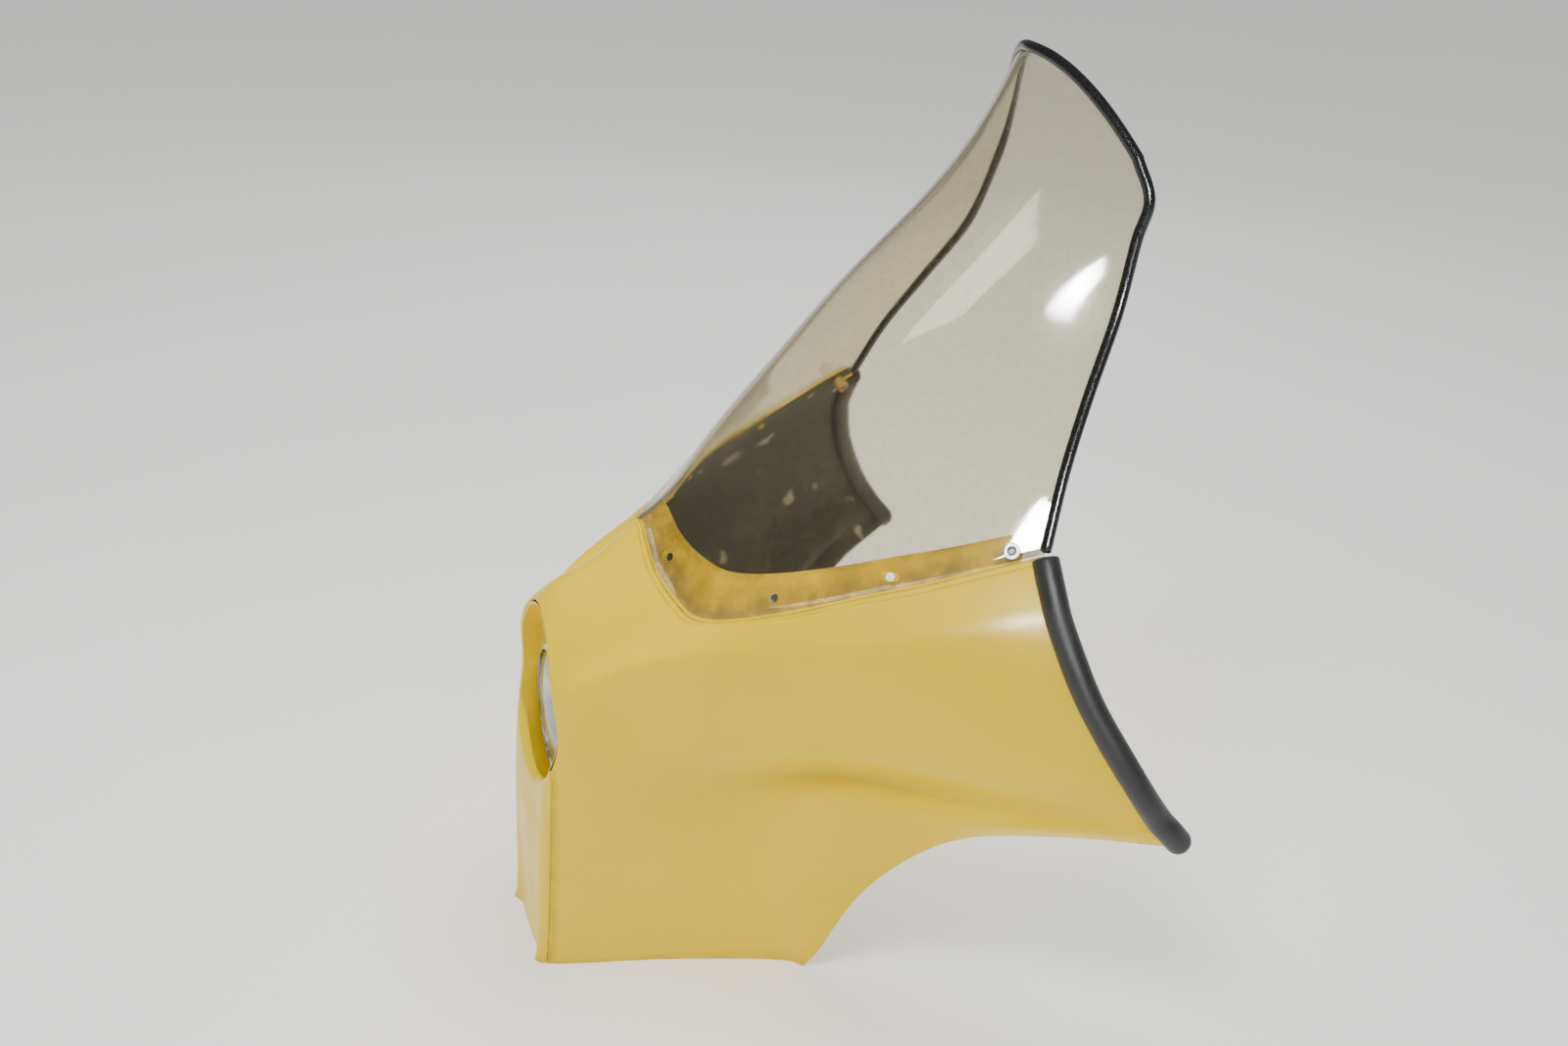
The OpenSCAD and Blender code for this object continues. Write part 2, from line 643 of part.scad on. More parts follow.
// Pressed ring bolted behind the surround, with two pivot ears and the adjuster's strap
module lamp_carrier() {
    ring_y = chin_y + carrier_s;
    color(steel) difference() {
        union() {
            turned([[carrier_r, carrier_s], [carrier_r + carrier_w, carrier_s],
                [carrier_r + carrier_w, carrier_s + carrier_t], [carrier_r, carrier_s + carrier_t]]);
            for (side = [-1, 1])
                translate([side * (ear_x + ear_t / 2) - ear_t / 2, ring_y, lamp_z - 9])
                    cube([ear_t, pivot_y + 9 - ring_y, 18]);
            translate([-strap_w / 2, ring_y, adjuster_z - 20])
                cube([strap_w, carrier_t, adjuster_drop + 20 - carrier_r - 2]);
            translate([-strap_w / 2, ring_y, adjuster_z - 22])
                cube([strap_w, chin_y + tab_s + tab_t - ring_y, tab_t]);
            translate([-9, chin_y + tab_s, adjuster_z - 22]) cube([18, tab_t, 34]);
            translate([0, chin_y + tab_s + tab_t - over / 2, adjuster_z]) rotate([-90, 0, 0])
                cylinder(r = 6.5, h = nut_l);
        }
        // Window that lets the lamp's lug swing forward through the strap
        translate([-window_w / 2, ring_y - over, adjuster_z - 13])
            cube([window_w, carrier_t + 2 * over, adjuster_drop + 13 - carrier_r - 4]);
        translate([-ear_x - 20, pivot_y, lamp_z]) rotate([0, 90, 0])
            cylinder(r = pivot_r + slip, h = 2 * ear_x + 40);
        translate([0, 0, adjuster_z])
            along_y(chin_y + tab_s - over, chin_y + tab_s + tab_t + nut_l + over, adjuster_r + slip);
        at_carrier_screws() along_y(ring_y - over, ring_y + carrier_t + over, m4_r + slip);
    }
}

module carrier_screws() {
    color(zinc) at_carrier_screws() {
        difference() {
            along_y(plate_y - 2.4, plate_y - 0.2, 3.5);
            for (a = [0, 90]) rotate([0, a, 0]) translate([-2, plate_y - 3.4, -0.4]) cube([4, 2, 0.8]);
        }
        along_y(plate_y - 0.3, chin_y + carrier_s + carrier_t + 6, m4_r);
    }
}

module carrier_nuts() {
    y0 = chin_y + carrier_s + carrier_t + 0.2;
    color(zinc) at_carrier_screws() difference() {
        translate([0, y0, 0]) rotate([-90, 0, 0]) cylinder(r = 4, h = 3.2, $fn = 6);
        along_y(y0 - over, y0 + 3.2 + over, m4_r + slip);
    }
}

module pivot_bolts() {
    color(zinc) for (side = [-1, 1]) translate([0, pivot_y, lamp_z]) rotate([0, side * 90, 0]) {
        translate([0, 0, ear_x + ear_t + 0.2]) cylinder(r = 5, h = 3);
        translate([0, 0, frame_r - 0.5]) cylinder(r = pivot_r, h = ear_x - frame_r + ear_t + 1);
    }
}

// ---------------------------------------------------------------- bulb

base_s = neck_end + 0.3;
bulb_r = 8.5;

module bulb_glass() {
    tip = bowl_s(neck_r) - 42;
    steps = 8;
    dome_pts = [for (m = [0 : steps]) let (a = 90 * m / steps) [bulb_r * sin(a), tip + bulb_r * (1 - cos(a))]];
    color(clear) turned(concat(dome_pts, [[bulb_r, base_s - 9.4], [0, base_s - 9.4]]));
}

module bulb_base() {
    color(zinc) {
        turned([[0, base_s - 9.2], [bulb_r + 2, base_s - 9.2], [bulb_r + 2, base_s], [neck_r + 3, base_s],
            [neck_r + 3, base_s + 1.5], [12, base_s + 1.5], [12, base_s + 9], [0, base_s + 9]]);
        for (a = [0 : 120 : 240]) translate([0, chin_y + base_s + 8.5, lamp_z]) rotate([0, a, 0])
            translate([-4, 0, 6]) cube([8, 10, 0.8]);
    }
}

module bulb_clip() {
    color(steel) turned([[14, base_s + 1.8], [neck_r + 3, base_s + 1.8], [neck_r + 3, base_s + 3], [14, base_s + 3]]);
}

// Rubber boot over the back of the reflector's neck
module bulb_boot() {
    outer_r = neck_r + 8;
    back_s = base_s + 12;
    color(black) turned([[neck_r + bowl_t + gap, neck_end - 6], [outer_r, neck_end - 6], [outer_r, base_s + 5],
        [outer_r - 6, back_s], [13, back_s], [13, back_s - 2], [outer_r - 8, back_s - 2],
        [outer_r - 3.5, base_s + 4], [outer_r - 3.5, neck_end - 2], [neck_r + bowl_t + gap, neck_end - 2]]);
}

// ---------------------------------------------------------------- stay lugs

// Pad of the body's own curve bonded inside the wall, over a block of grid cells,
// from one depth under the wall to another
module pad(i0, i1, j0, j1, deep = 3, shallow = 0) {
    face = inset(body_grid, body_nn, shell_t + gap + shallow);
    back = inset(body_grid, body_nn, shell_t + gap + deep);
    keep = [for (j = [0 : rows - 2]) [for (i = [0 : cols - 2]) i >= i0 && i < i1 && j >= j0 && j < j1]];
    skin(face, back, keep);
}

// Boss with its axis along Y that stands off a pad on a web; its mouth faces the rear
boss_r = insert_r + 4;
boss_l = insert_l + 4;
// Distance of the boss's axis from the wall's inner face
stand = boss_r + 6;
upper_i = 4 * k;
upper_j = 4 * k + 1;
lower_i = 3 * k + 1;
lower_j = k - 1;

// Centre of the mouth of the lug at row j, column i, on the left side
function mouth(j, i) = body_inner[j][mid + i] + [-stand, boss_l / 2, 0];

module lug(side, i, j) {
    m = mouth(j, i);
    lo = side > 0 ? mid + i - 1 : mid - i - 1;
    color("#2b2b2d") difference() {
        union() {
            pad(lo, lo + 2, j - 1, j + 1);
            difference() {
                union() {
                    translate([side * m[0], 0, m[2]]) along_y(m[1] - boss_l, m[1], boss_r);
                    translate([side > 0 ? m[0] : -m[0] - stand - boss_r, m[1] - boss_l, m[2] - boss_r / 2])
                        cube([stand + boss_r, boss_l, boss_r]);
                }
                pad(lo - 1, lo + 3, j - 2, j + 2, 1, -3 * boss_r);
            }
        }
        translate([side * m[0], 0, m[2]])
            along_y(m[1] - insert_l - gap, m[1] + over, insert_r + slip);
    }
}

module upper_lug_left() { lug(1, upper_i, upper_j); }
module upper_lug_right() { lug(-1, upper_i, upper_j); }
module lower_lug_left() { lug(1, lower_i, lower_j); }
module lower_lug_right() { lug(-1, lower_i, lower_j); }

module lug_inserts() {
    color("#c8a34a") for (side = [-1, 1], m = [mouth(upper_j, upper_i), mouth(lower_j, lower_i)])
        translate([side * m[0], 0, m[2]]) difference() {
            along_y(m[1] - insert_l, m[1], insert_r);
            along_y(m[1] - insert_l - over, m[1] + over, lug_hole_r);
        }
}

// ---------------------------------------------------------------- assembly

fairing_shell();
nose_panel();
lamp_surround();
screen();
screen_edge_trim();
rear_trim_left();
rear_trim_right();
screen_screws();
screen_washers();
well_nuts();
lamp_carrier();
carrier_screws();
carrier_nuts();
pivot_bolts();
lamp_frame();
lamp_rim();
lamp_lens();
lens_gasket();
reflector();
bulb_glass();
bulb_base();
bulb_clip();
bulb_boot();
adjuster_socket();
adjuster_screw();
upper_lug_left();
upper_lug_right();
lower_lug_left();
lower_lug_right();
lug_inserts();
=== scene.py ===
"""Yellow half fairing with a tall smoked screen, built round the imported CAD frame.

The nose points to -Y, +X is the machine's left side and the floor is Z = 0.
Lengths in the tables are millimetres; s counts back from a plane in front of the chin.
"""

import math

import bpy
import numpy as np
from mathutils import Matrix, Vector


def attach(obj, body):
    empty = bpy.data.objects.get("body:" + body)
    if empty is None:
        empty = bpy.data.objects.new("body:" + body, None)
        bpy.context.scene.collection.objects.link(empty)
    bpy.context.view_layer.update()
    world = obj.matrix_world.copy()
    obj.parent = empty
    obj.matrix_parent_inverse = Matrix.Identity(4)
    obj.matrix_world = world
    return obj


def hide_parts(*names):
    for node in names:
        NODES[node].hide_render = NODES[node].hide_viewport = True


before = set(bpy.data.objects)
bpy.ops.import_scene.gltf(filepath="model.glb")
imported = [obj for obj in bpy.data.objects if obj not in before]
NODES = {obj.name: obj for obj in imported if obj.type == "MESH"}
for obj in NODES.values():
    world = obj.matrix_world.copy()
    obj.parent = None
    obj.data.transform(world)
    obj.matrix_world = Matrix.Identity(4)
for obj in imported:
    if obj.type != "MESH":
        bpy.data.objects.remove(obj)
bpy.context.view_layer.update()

MM = 0.001

# ------------------------------------------------------------------ sizes

SHELL_T = 3.0
SCREEN_T = 3.0
SCREEN_H = 409.0
TRIM_R = 13.0
GRIP = 13.0
BEAD_R = 5.5
LENS_R = 70.0
LENS_S = 45.0
LENS_DOME = 10.0
LENS_T = 4.0
LAMP_Z = 268.0
FLANGE_H = 24.0
FLANGE_GAP = 0.6
FLANGE_SHORT = 3           # columns the flange stops short of the rear edges
FLANGE_CORNER = 11.0       # radius of its top corners
REBATE_W = 6.5             # strip of skin below the screen that lies lower than the rest
REBATE_D = 0.9
FOOT_SPAN = 70.0           # rise of the screen's lowest span of the net
HOLE_RISE = 0.45           # height of the screen's holes, as a share of the flange
SLOT_L = 9.0
LIP_DEPTH = 8.0            # how far the nose panel's rolled top runs back
FRONT_S = 10.3
REAR_S = 566 + 0.83 * TRIM_R
CHIN_Y = -(FRONT_S + REAR_S) / 2
NOSE_X = LENS_R + 6.5 + 4.5 + 2.5 + 0.4 + SHELL_T
SURROUND_T = 2.5
HOLE_R = LENS_R + 6.5
PLATE_Y = CHIN_Y + LENS_S + 5


def at(x, s, z):
    """Point of the net: half width, distance behind the chin, height."""
    return (x, CHIN_Y + s, z)


def nose(x, s, z):
    """Point of the nose: share of its half width, distance back, height against the lamp."""
    return (x * NOSE_X, CHIN_Y + s, LAMP_Z + z)


# Rows run up the side, each from the mirror plane to the rear edge.
LOWER_EDGE = [
    nose(0, 16, -LAMP_Z), nose(0.42, 17.5, -LAMP_Z), nose(0.74, 21, -LAMP_Z),
    at(93, 145, 0), at(126, 256, 0), at(146, 284, 6), at(176, 330, 118),
    at(228, 392, 203), at(292, 472, 239), at(360, 566, 257)]
RIDGE = [
    nose(0, 16, -200), nose(0.45, 18, -206), nose(0.77, 23, -222),
    at(96, 135, 88), at(122, 216, 150), at(140, 252, 196), at(172, 300, 227),
    at(232, 378, 242), at(296, 452, 259), at(358, 550, 276)]
HOLLOW = [
    nose(0, 11, -118), nose(0.5, 15, -120), nose(0.86, 24, -122),
    at(101, 108, 178), at(118, 174, 224), at(136, 232, 248), at(168, 292, 260),
    at(222, 368, 261), at(288, 446, 272), at(354, 536, 292)]
CREST = [
    nose(0, 16, -69), nose(0.52, 19, -54), nose(0.92, 25, -22),
    at(105, 92, 266), at(123, 152, 292), at(146, 218, 296), at(186, 290, 302),
    at(244, 366, 312), at(300, 434, 322), at(347, 510, 331)]
FLANK = [
    nose(0, 24, 30), nose(0.6, 25, 30), nose(1, 31, 28),
    at(108, 86, 322), at(134, 146, 350), at(164, 212, 362), at(202, 280, 372),
    at(244, 346, 382), at(280, 408, 392), at(312, 472, 401)]
BROW = [
    nose(0, 30, 132), nose(0.5, 29, 114), nose(0.87, 29, 76),
    at(109, 82, 374), at(138, 140, 394), at(170, 206, 408), at(204, 272, 422),
    at(234, 336, 437), at(259, 394, 451), at(280, 451, 463)]
HOOD = [
    at(0, 87, 440), at(47, 91, 413), at(83, 98, 383),
    at(112, 120, 398), at(141, 160, 413), at(168, 218, 428), at(196, 278, 445),
    at(220, 336, 461), at(242, 392, 478), at(260, 447, 493)]
SCREEN_LINE = [
    at(0, 130, 480), at(44, 134, 446), at(84, 149, 423),
    at(116, 160, 425), at(143, 190, 436), at(166, 236, 451), at(187, 290, 470),
    at(206, 340, 486), at(223, 392, 504), at(239, 446, 521)]
BODY_NET = [LOWER_EDGE, RIDGE, HOLLOW, CREST, FLANK, BROW, HOOD, SCREEN_LINE]

# Screen rows: centre s and z, edge x, s and z, and how square the row is; s and z are
# counted from the lower rear corner of the screen.
SCREEN_ROWS = [
    (-246, 16, 212, 24, 70, 2.05), (-181, 92, 184, 56, 135, 2.2), (-111, 172, 159, 89, 199, 2.4),
    (-31, 256, 147, 105, 262, 2.1), (22, 330, 145, 113, 300, 1.8), (54, 409, 126, 106, 334, 1.35)]

K = 8                      # spans between two points of the net
SEAM = 2 * K               # columns from the mirror plane to the nose seam
SILL = 3 * K               # row of the lamp opening's sill
TOP = 5 * K                # row of its brow

# ------------------------------------------------------------------ net


def span(a, b, c, d, t):
    return 0.5 * (2 * b + (c - a) * t + (2 * a - 5 * b + 4 * c - d) * t ** 2
                  + (3 * b - a - 3 * c + d) * t ** 3)


def curve(points, k, mirrored):
    """Smooth curve through points; a mirrored start meets X = 0 squarely."""
    p = np.asarray(points, float)
    first = p[1] * (-1, 1, 1) if mirrored else 2 * p[0] - p[1]
    q = np.vstack([first, p, 2 * p[-1] - p[-2]])
    out = [span(q[i], q[i + 1], q[i + 2], q[i + 3], s / k)
           for i in range(len(p) - 1) for s in range(k)]
    return np.array(out + [p[-1]])


def net_grid(net, k):
    """Grid of rows by columns of points, right rear to left rear, from a half net."""
    rows = np.array([curve(row, k, True) for row in net])
    half = np.stack([curve(rows[:, i], k, False) for i in range(rows.shape[1])], axis=1)
    return np.concatenate([(half * (-1, 1, 1))[:, :0:-1], half], axis=1)


def relax(grid, passes, fixed):
    """Evens out the curvature of a grid, away from its fixed points."""
    g = grid.copy()
    for _ in range(passes):
        m = g.copy()
        m[1:-1, 1:-1] = (g[:-2, 1:-1] + g[2:, 1:-1] + g[1:-1, :-2] + g[1:-1, 2:]) / 4
        m[1:-1, 0] = (g[:-2, 0] + g[2:, 0]) / 2
        m[1:-1, -1] = (g[:-2, -1] + g[2:, -1]) / 2
        m[0, 1:-1] = (g[0, :-2] + g[0, 2:]) / 2
        m[-1, 1:-1] = (g[-1, :-2] + g[-1, 2:]) / 2
        g = np.where(fixed[..., None], g, 0.5 * g + 0.5 * m)
    return g


def unit(v):
    return v / np.linalg.norm(v, axis=-1, keepdims=True)


def normals(g):
    du = np.empty_like(g)
    dt = np.empty_like(g)
    du[:, 1:-1] = g[:, 2:] - g[:, :-2]
    du[:, 0] = g[:, 1] - g[:, 0]
    du[:, -1] = g[:, -1] - g[:, -2]
    dt[1:-1] = g[2:] - g[:-2]
    dt[0] = g[1] - g[0]
    dt[-1] = g[-1] - g[-2]
    return unit(np.cross(du, dt))


def screen_row(cs, cz, ex, es, ez, power):
    base = SCREEN_LINE[-1]
    row = []
    for p in SCREEN_LINE:
        q = p[0] / base[0]
        row.append(((base[0] - 237) * (1 - ez / SCREEN_H) + ex * q,
                    base[1] + cs + (es - cs) * q ** power,
                    base[2] + cz + (ez - cz) * q * q))
    return row


body = net_grid(BODY_NET, K)
body[..., 2] = np.maximum(body[..., 2], 0)
ROWS, COLS = body.shape[:2]
MID = COLS // 2
held = np.zeros((ROWS, COLS), bool)
held[[0, -1]] = True
held[:, [0, -1]] = True
held[SILL:TOP + 1, MID - SEAM:MID + SEAM + 1] = True
held[:SILL, [MID - SEAM, MID + SEAM]] = True


def loop_of(g):
    """Loop round the lamp opening, from the left sill up and round."""
    return np.concatenate([
        g[SILL:TOP, MID + SEAM], g[TOP, MID + SEAM:MID - SEAM:-1],
        g[TOP:SILL:-1, MID - SEAM], g[SILL, MID - SEAM:MID + SEAM]])


loop = loop_of(body)
for _ in range(16):
    loop = loop / 2 + (np.roll(loop, 1, axis=0) + np.roll(loop, -1, axis=0)) / 4
side, across = TOP - SILL, 2 * SEAM
body[SILL:TOP, MID + SEAM] = loop[:side]
body[TOP, MID + SEAM:MID - SEAM:-1] = loop[side:side + across]
body[TOP:SILL:-1, MID - SEAM] = loop[side + across:2 * side + across]
body[SILL, MID - SEAM:MID + SEAM] = loop[2 * side + across:]
body = relax(body, 9, held)

# Relief of the moulded lines: mm out along the normal at the points of the net
RELIEF = [
    [0] * 10, [0, 0, 0, 0.5, 2.5, 5, 5.5, 4.5, 2.5, 0], [0, 0, 0, -1, -4, -7, -8, -6.5, -3.5, 0],
    [0, 0, 0, 3.5, 8, 9, 7, 4.5, 2, 0], [0, 0, 0, 1, 2, 3, 4, 3.5, 2, 0],
    [0] * 10, [0] * 10, [0] * 10]
relief = net_grid([[(0, 0, v) for v in row] for row in RELIEF], K)[..., 2]
body = relax(body + normals(body) * relief[..., None], 2, held)

screen = net_grid([SCREEN_LINE] + [screen_row(*r) for r in SCREEN_ROWS], K)
held = np.zeros(screen.shape[:2], bool)
held[[0, -1]] = True
held[:, [0, -1]] = True
screen = relax(screen, 10, held)
screen_n = normals(screen)


def on_screen(j, i, lift=0.0):
    """Point of the screen's outer face at row j and column i, lifted by so many mm."""
    a = min(int(j), screen.shape[0] - 2)
    b = min(int(i), COLS - 2)
    v, u = j - a, i - b

    def mix(g):
        return ((1 - v) * ((1 - u) * g[a, b] + u * g[a, b + 1])
                + v * ((1 - u) * g[a + 1, b] + u * g[a + 1, b + 1]))
    n = unit(mix(screen_n))
    return mix(screen) + n * lift, n


# ------------------------------------------------------------------ making meshes


def deselect():
    if bpy.context.object and bpy.context.object.mode != "OBJECT":
        bpy.ops.object.mode_set(mode="OBJECT")
    bpy.ops.object.select_all(action="DESELECT")


def activate(obj):
    deselect()
    obj.select_set(True)
    bpy.context.view_layer.objects.active = obj


def grid_object(name, points, keep=None):
    """Sheet of quads through a rows by columns array of points in mm."""
    rows, cols = points.shape[:2]
    deselect()
    bpy.ops.mesh.primitive_grid_add(x_subdivisions=cols - 1, y_subdivisions=rows - 1, size=1)
    obj = bpy.context.object
    obj.name = name
    obj.data.name = name
    obj.data.vertices.foreach_set("co", (points * MM).reshape(-1))
    obj.data.update()
    if keep is not None:
        bpy.ops.object.mode_set(mode="EDIT")
        bpy.ops.mesh.select_all(action="DESELECT")
        bpy.ops.mesh.select_mode(type="FACE")
        bpy.ops.object.mode_set(mode="OBJECT")
        obj.data.polygons.foreach_set("select", ~keep.reshape(-1))
        bpy.ops.object.mode_set(mode="EDIT")
        bpy.ops.mesh.delete(type="FACE")
        bpy.ops.object.mode_set(mode="OBJECT")
    return obj


def tube_object(name, rings):
    """Closed tube through rings of points in mm, capped at both ends."""
    rings = np.asarray(rings)
    obj = grid_object(name, np.concatenate([rings, rings[:, :1]], axis=1))
    bpy.ops.object.mode_set(mode="EDIT")
    bpy.ops.mesh.select_all(action="SELECT")
    bpy.ops.mesh.remove_doubles(threshold=1e-6)
    bpy.ops.mesh.select_all(action="DESELECT")
    bpy.ops.mesh.select_mode(type="EDGE")
    bpy.ops.mesh.select_non_manifold(extend=False)
    bpy.ops.mesh.fill_holes(sides=0)
    bpy.ops.mesh.select_all(action="SELECT")
    bpy.ops.mesh.normals_make_consistent(inside=False)
    bpy.ops.object.mode_set(mode="OBJECT")
    return obj


def modify(obj, kind, **settings):
    """Adds a modifier with its settings and applies it."""
    activate(obj)
    m = obj.modifiers.new(kind, kind)
    for key, value in settings.items():
        setattr(m, key, value)
    bpy.ops.object.modifier_apply(modifier=m.name)


def wall(obj, thickness, *mats):
    """Gives a sheet its thickness on the inner side, which takes the second material."""
    obj.data.materials.clear()
    for m in mats:
        obj.data.materials.append(m)
    inner_slot = len(mats) - 1
    modify(obj, "SOLIDIFY", thickness=thickness * MM, offset=-1, use_rim=True,
           material_offset=inner_slot)


def round_edges(obj, width, segments=2, angle=50):
    modify(obj, "BEVEL", width=width * MM, segments=segments, limit_method="ANGLE",
           angle_limit=math.radians(angle), use_clamp_overlap=True, harden_normals=False)


def smooth(obj, angle=35):
    activate(obj)
    bpy.ops.object.shade_smooth_by_angle(angle=math.radians(angle))


def spun(name, outline, steps):
    """Turned part on Z: outline points are radius and height, in mm."""
    data = bpy.data.meshes.new(name)
    verts = [(r * MM, 0, z * MM) for r, z in outline]
    data.from_pydata(verts, [(i, i + 1) for i in range(len(verts) - 1)], [])
    obj = bpy.data.objects.new(name, data)
    bpy.context.collection.objects.link(obj)
    activate(obj)
    bpy.ops.object.mode_set(mode="EDIT")
    bpy.ops.mesh.select_all(action="SELECT")
    bpy.ops.mesh.spin(steps=steps, angle=2 * math.pi, center=(0, 0, 0), axis=(0, 0, 1))
    bpy.ops.mesh.select_all(action="SELECT")
    bpy.ops.mesh.remove_doubles(threshold=1e-6)
    bpy.ops.mesh.normals_make_consistent(inside=False)
    bpy.ops.object.mode_set(mode="OBJECT")
    return obj


def joined(name, objs):
    """Joins meshes into the first of them, under a new name."""
    deselect()
    for o in objs:
        o.select_set(True)
    bpy.context.view_layer.objects.active = objs[0]
    bpy.ops.object.join()
    objs[0].name = name
    objs[0].data.name = name
    return objs[0]


def moved(obj, matrix):
    """Puts a place or a turn into the mesh, and leaves the object at the origin."""
    obj.data.transform(matrix)
    if matrix.determinant() < 0:
        obj.data.flip_normals()
    obj.data.update()
    return obj


def cut(obj, cutter):
    """Cuts one mesh out of another, and deletes the cutter."""
    modify(obj, "BOOLEAN", operation="DIFFERENCE", solver="EXACT", object=cutter)
    bpy.data.objects.remove(cutter, do_unlink=True)


def finish(obj, body_name, node, slot, *mats):
    """Puts a piece on its body, in place of its CAD node; the slot argument is not used."""
    if not obj.data.materials:
        for m in mats:
            obj.data.materials.append(m)
    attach(obj, body_name)
    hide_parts(*([node] if isinstance(node, str) else node))
    return obj


# ------------------------------------------------------------------ materials


def rgb(hexa):
    """Linear colour from an sRGB hex value."""
    parts = [int(hexa[i:i + 2], 16) / 255 for i in (1, 3, 5)]
    return tuple(c / 12.92 if c <= 0.04045 else ((c + 0.055) / 1.055) ** 2.4 for c in parts) + (1,)


def fill(tree, node, sockets):
    """Links a node's sockets to outputs, or sets them to plain values and hex colours."""
    for key, value in sockets.items():
        if isinstance(value, bpy.types.NodeSocket):
            tree.links.new(value, node.inputs[key])
        else:
            node.inputs[key].default_value = rgb(value) if isinstance(value, str) else value


def add(tree, kind, sockets=None, stops=(), out=0, **settings):
    """Adds a node with its settings, ramp stops, values and links; returns one output."""
    n = tree.nodes.new("ShaderNode" + kind)
    for key, value in settings.items():
        setattr(n, key, value)
    for _ in stops[2:]:
        n.color_ramp.elements.new(0.5)
    for k, (place, colour) in enumerate(stops):
        n.color_ramp.elements[k].position = place
        n.color_ramp.elements[k].color = (
            rgb(colour) if isinstance(colour, str) else (colour, colour, colour, 1))
    fill(tree, n, sockets or {})
    return n.outputs[out]


def material(name, **values):
    """New material: returns it, its tree, its shader and the piece's own coordinates."""
    m = bpy.data.materials.new(name)
    m.use_nodes = True
    tree = m.node_tree
    shader = tree.nodes["Principled BSDF"]
    fill(tree, shader, {key.replace("_", " "): value for key, value in values.items()})
    return m, tree, shader, add(tree, "TexCoord", out="Object")


# Settings that many nodes share
TIMES = {"operation": "MULTIPLY"}
PLUS = {"operation": "ADD"}
COLOURS = {"data_type": "RGBA", "out": 2}   # a Mix node's colours are its sockets 6 and 7

# Yellow gelcoat on moulded glass fibre: brushed into the mould, so it is glossy with a faint
# orange peel; hands and stones have dulled it, and dirt sits along the screen line and seams.
# The same brown on the flange under the screen is partly dirt and partly painted shade, standing
# in for the smoked sheet in front of it.
YELLOW, tree, shader, coords = material(
    "gelcoat_yellow", IOR=1.45, Specular_IOR_Level=0.22, Coat_Weight=0.05, Coat_Roughness=0.15)
drift = add(tree, "TexNoise", {"Vector": coords, "Scale": 7, "Detail": 2})
colour = add(tree, "ValToRGB", {"Fac": drift}, [(0.3, "#fad300"), (0.7, "#ffdb00")])
marks = add(tree, "TexNoise", {"Vector": coords, "Scale": 38, "Detail": 6, "Roughness": 0.65})
# This layer holds dirt, and on the flange under the screen painted shade as well.
grime_and_shade_share = add(tree, "Attribute", out="Fac", attribute_name="grime_and_shade")
breakup = add(tree, "ValToRGB", {"Fac": marks}, [(0.32, 0.4), (0.6, 1.0)])
breakup = add(tree, "Math", {0: grime_and_shade_share, 1: breakup}, **TIMES)
share = add(tree, "Math", {0: breakup, 1: 0.85}, **TIMES)
colour = add(tree, "Mix", {0: share, 6: colour, 7: "#5a4415"}, **COLOURS)
specks = add(tree, "TexNoise", {"Vector": coords, "Scale": 420, "Detail": 2})
flecks = add(tree, "ValToRGB", {"Fac": specks}, [(0.74, 0.0), (0.78, 1.0)])
patches = add(tree, "TexNoise", {"Vector": coords, "Scale": 16, "Detail": 3})
patches = add(tree, "ValToRGB", {"Fac": patches}, [(0.56, 0.0), (0.68, 0.6)])
share = add(tree, "Math", {0: flecks, 1: patches}, **TIMES)
colour = add(tree, "Mix", {0: share, 6: colour, 7: "#8a6a1c"}, **COLOURS)
grain = add(tree, "Mapping",
            {"Vector": coords, "Scale": (900, 30, 60), "Rotation": (0.3, 0.2, 0.5)})
scratches = add(tree, "TexNoise", {"Vector": grain, "Scale": 1, "Detail": 2})
fine = add(tree, "ValToRGB", {"Fac": scratches}, [(0.66, 0.0), (0.7, 1.0)])
share = add(tree, "Math", {0: fine, 1: 0.10}, **TIMES)
colour = add(tree, "Mix", {0: share, 6: colour, 7: "#fff3a8"}, **COLOURS)
dull = add(tree, "TexNoise", {"Vector": coords, "Scale": 22, "Detail": 4})
dull = add(tree, "ValToRGB", {"Fac": dull}, [(0.3, 0.24), (0.75, 0.38)])
scuffed = add(tree, "Math", {0: fine, 1: 0.12}, **TIMES)
peel = add(tree, "TexNoise", {"Vector": coords, "Scale": 260, "Detail": 2})
fill(tree, shader, {
    "Base Color": colour, "Roughness": add(tree, "Math", {0: scuffed, 1: dull}, **PLUS),
    "Normal": add(tree, "Bump", {"Height": peel, "Distance": 0.05 * MM, "Strength": 0.5})})

# Back of the laminate: chopped strand mat under thin dark primer, with pale blobs of glue.
LAMINATE, tree, shader, coords = material("glass_mat_dark_primer", IOR=1.5, Roughness=0.7)
turned = add(tree, "Mapping", {"Vector": coords, "Scale": (1, 1, 1), "Rotation": (0.4, 0.3, 0.8)})
strands = add(tree, "TexVoronoi", {"Vector": turned, "Scale": 210}, feature="DISTANCE_TO_EDGE",
              out="Distance")
drift = add(tree, "TexNoise", {"Vector": coords, "Scale": 14, "Detail": 4})
primer = add(tree, "ValToRGB", {"Fac": drift}, [(0.3, "#34342c"), (0.7, "#454439")])
share = add(tree, "ValToRGB", {"Fac": strands}, [(0.0, 0.3), (0.12, 0.0)])
primer = add(tree, "Mix", {0: share, 6: primer, 7: "#4e4c42"}, **COLOURS)
blobs = add(tree, "TexNoise", {"Vector": coords, "Scale": 19, "Detail": 2})
glue = add(tree, "ValToRGB", {"Fac": blobs}, [(0.64, 0.0), (0.68, 1.0)])
primer = add(tree, "Mix", {0: glue, 6: primer, 7: "#a8a294"}, **COLOURS)
height = add(tree, "Math", {0: glue, 1: 0.6}, **TIMES)
height = add(tree, "Math", {0: strands, 1: height}, **PLUS)
fill(tree, shader, {
    "Base Color": primer,
    "Normal": add(tree, "Bump", {"Height": height, "Distance": 0.25 * MM, "Strength": 0.5})})

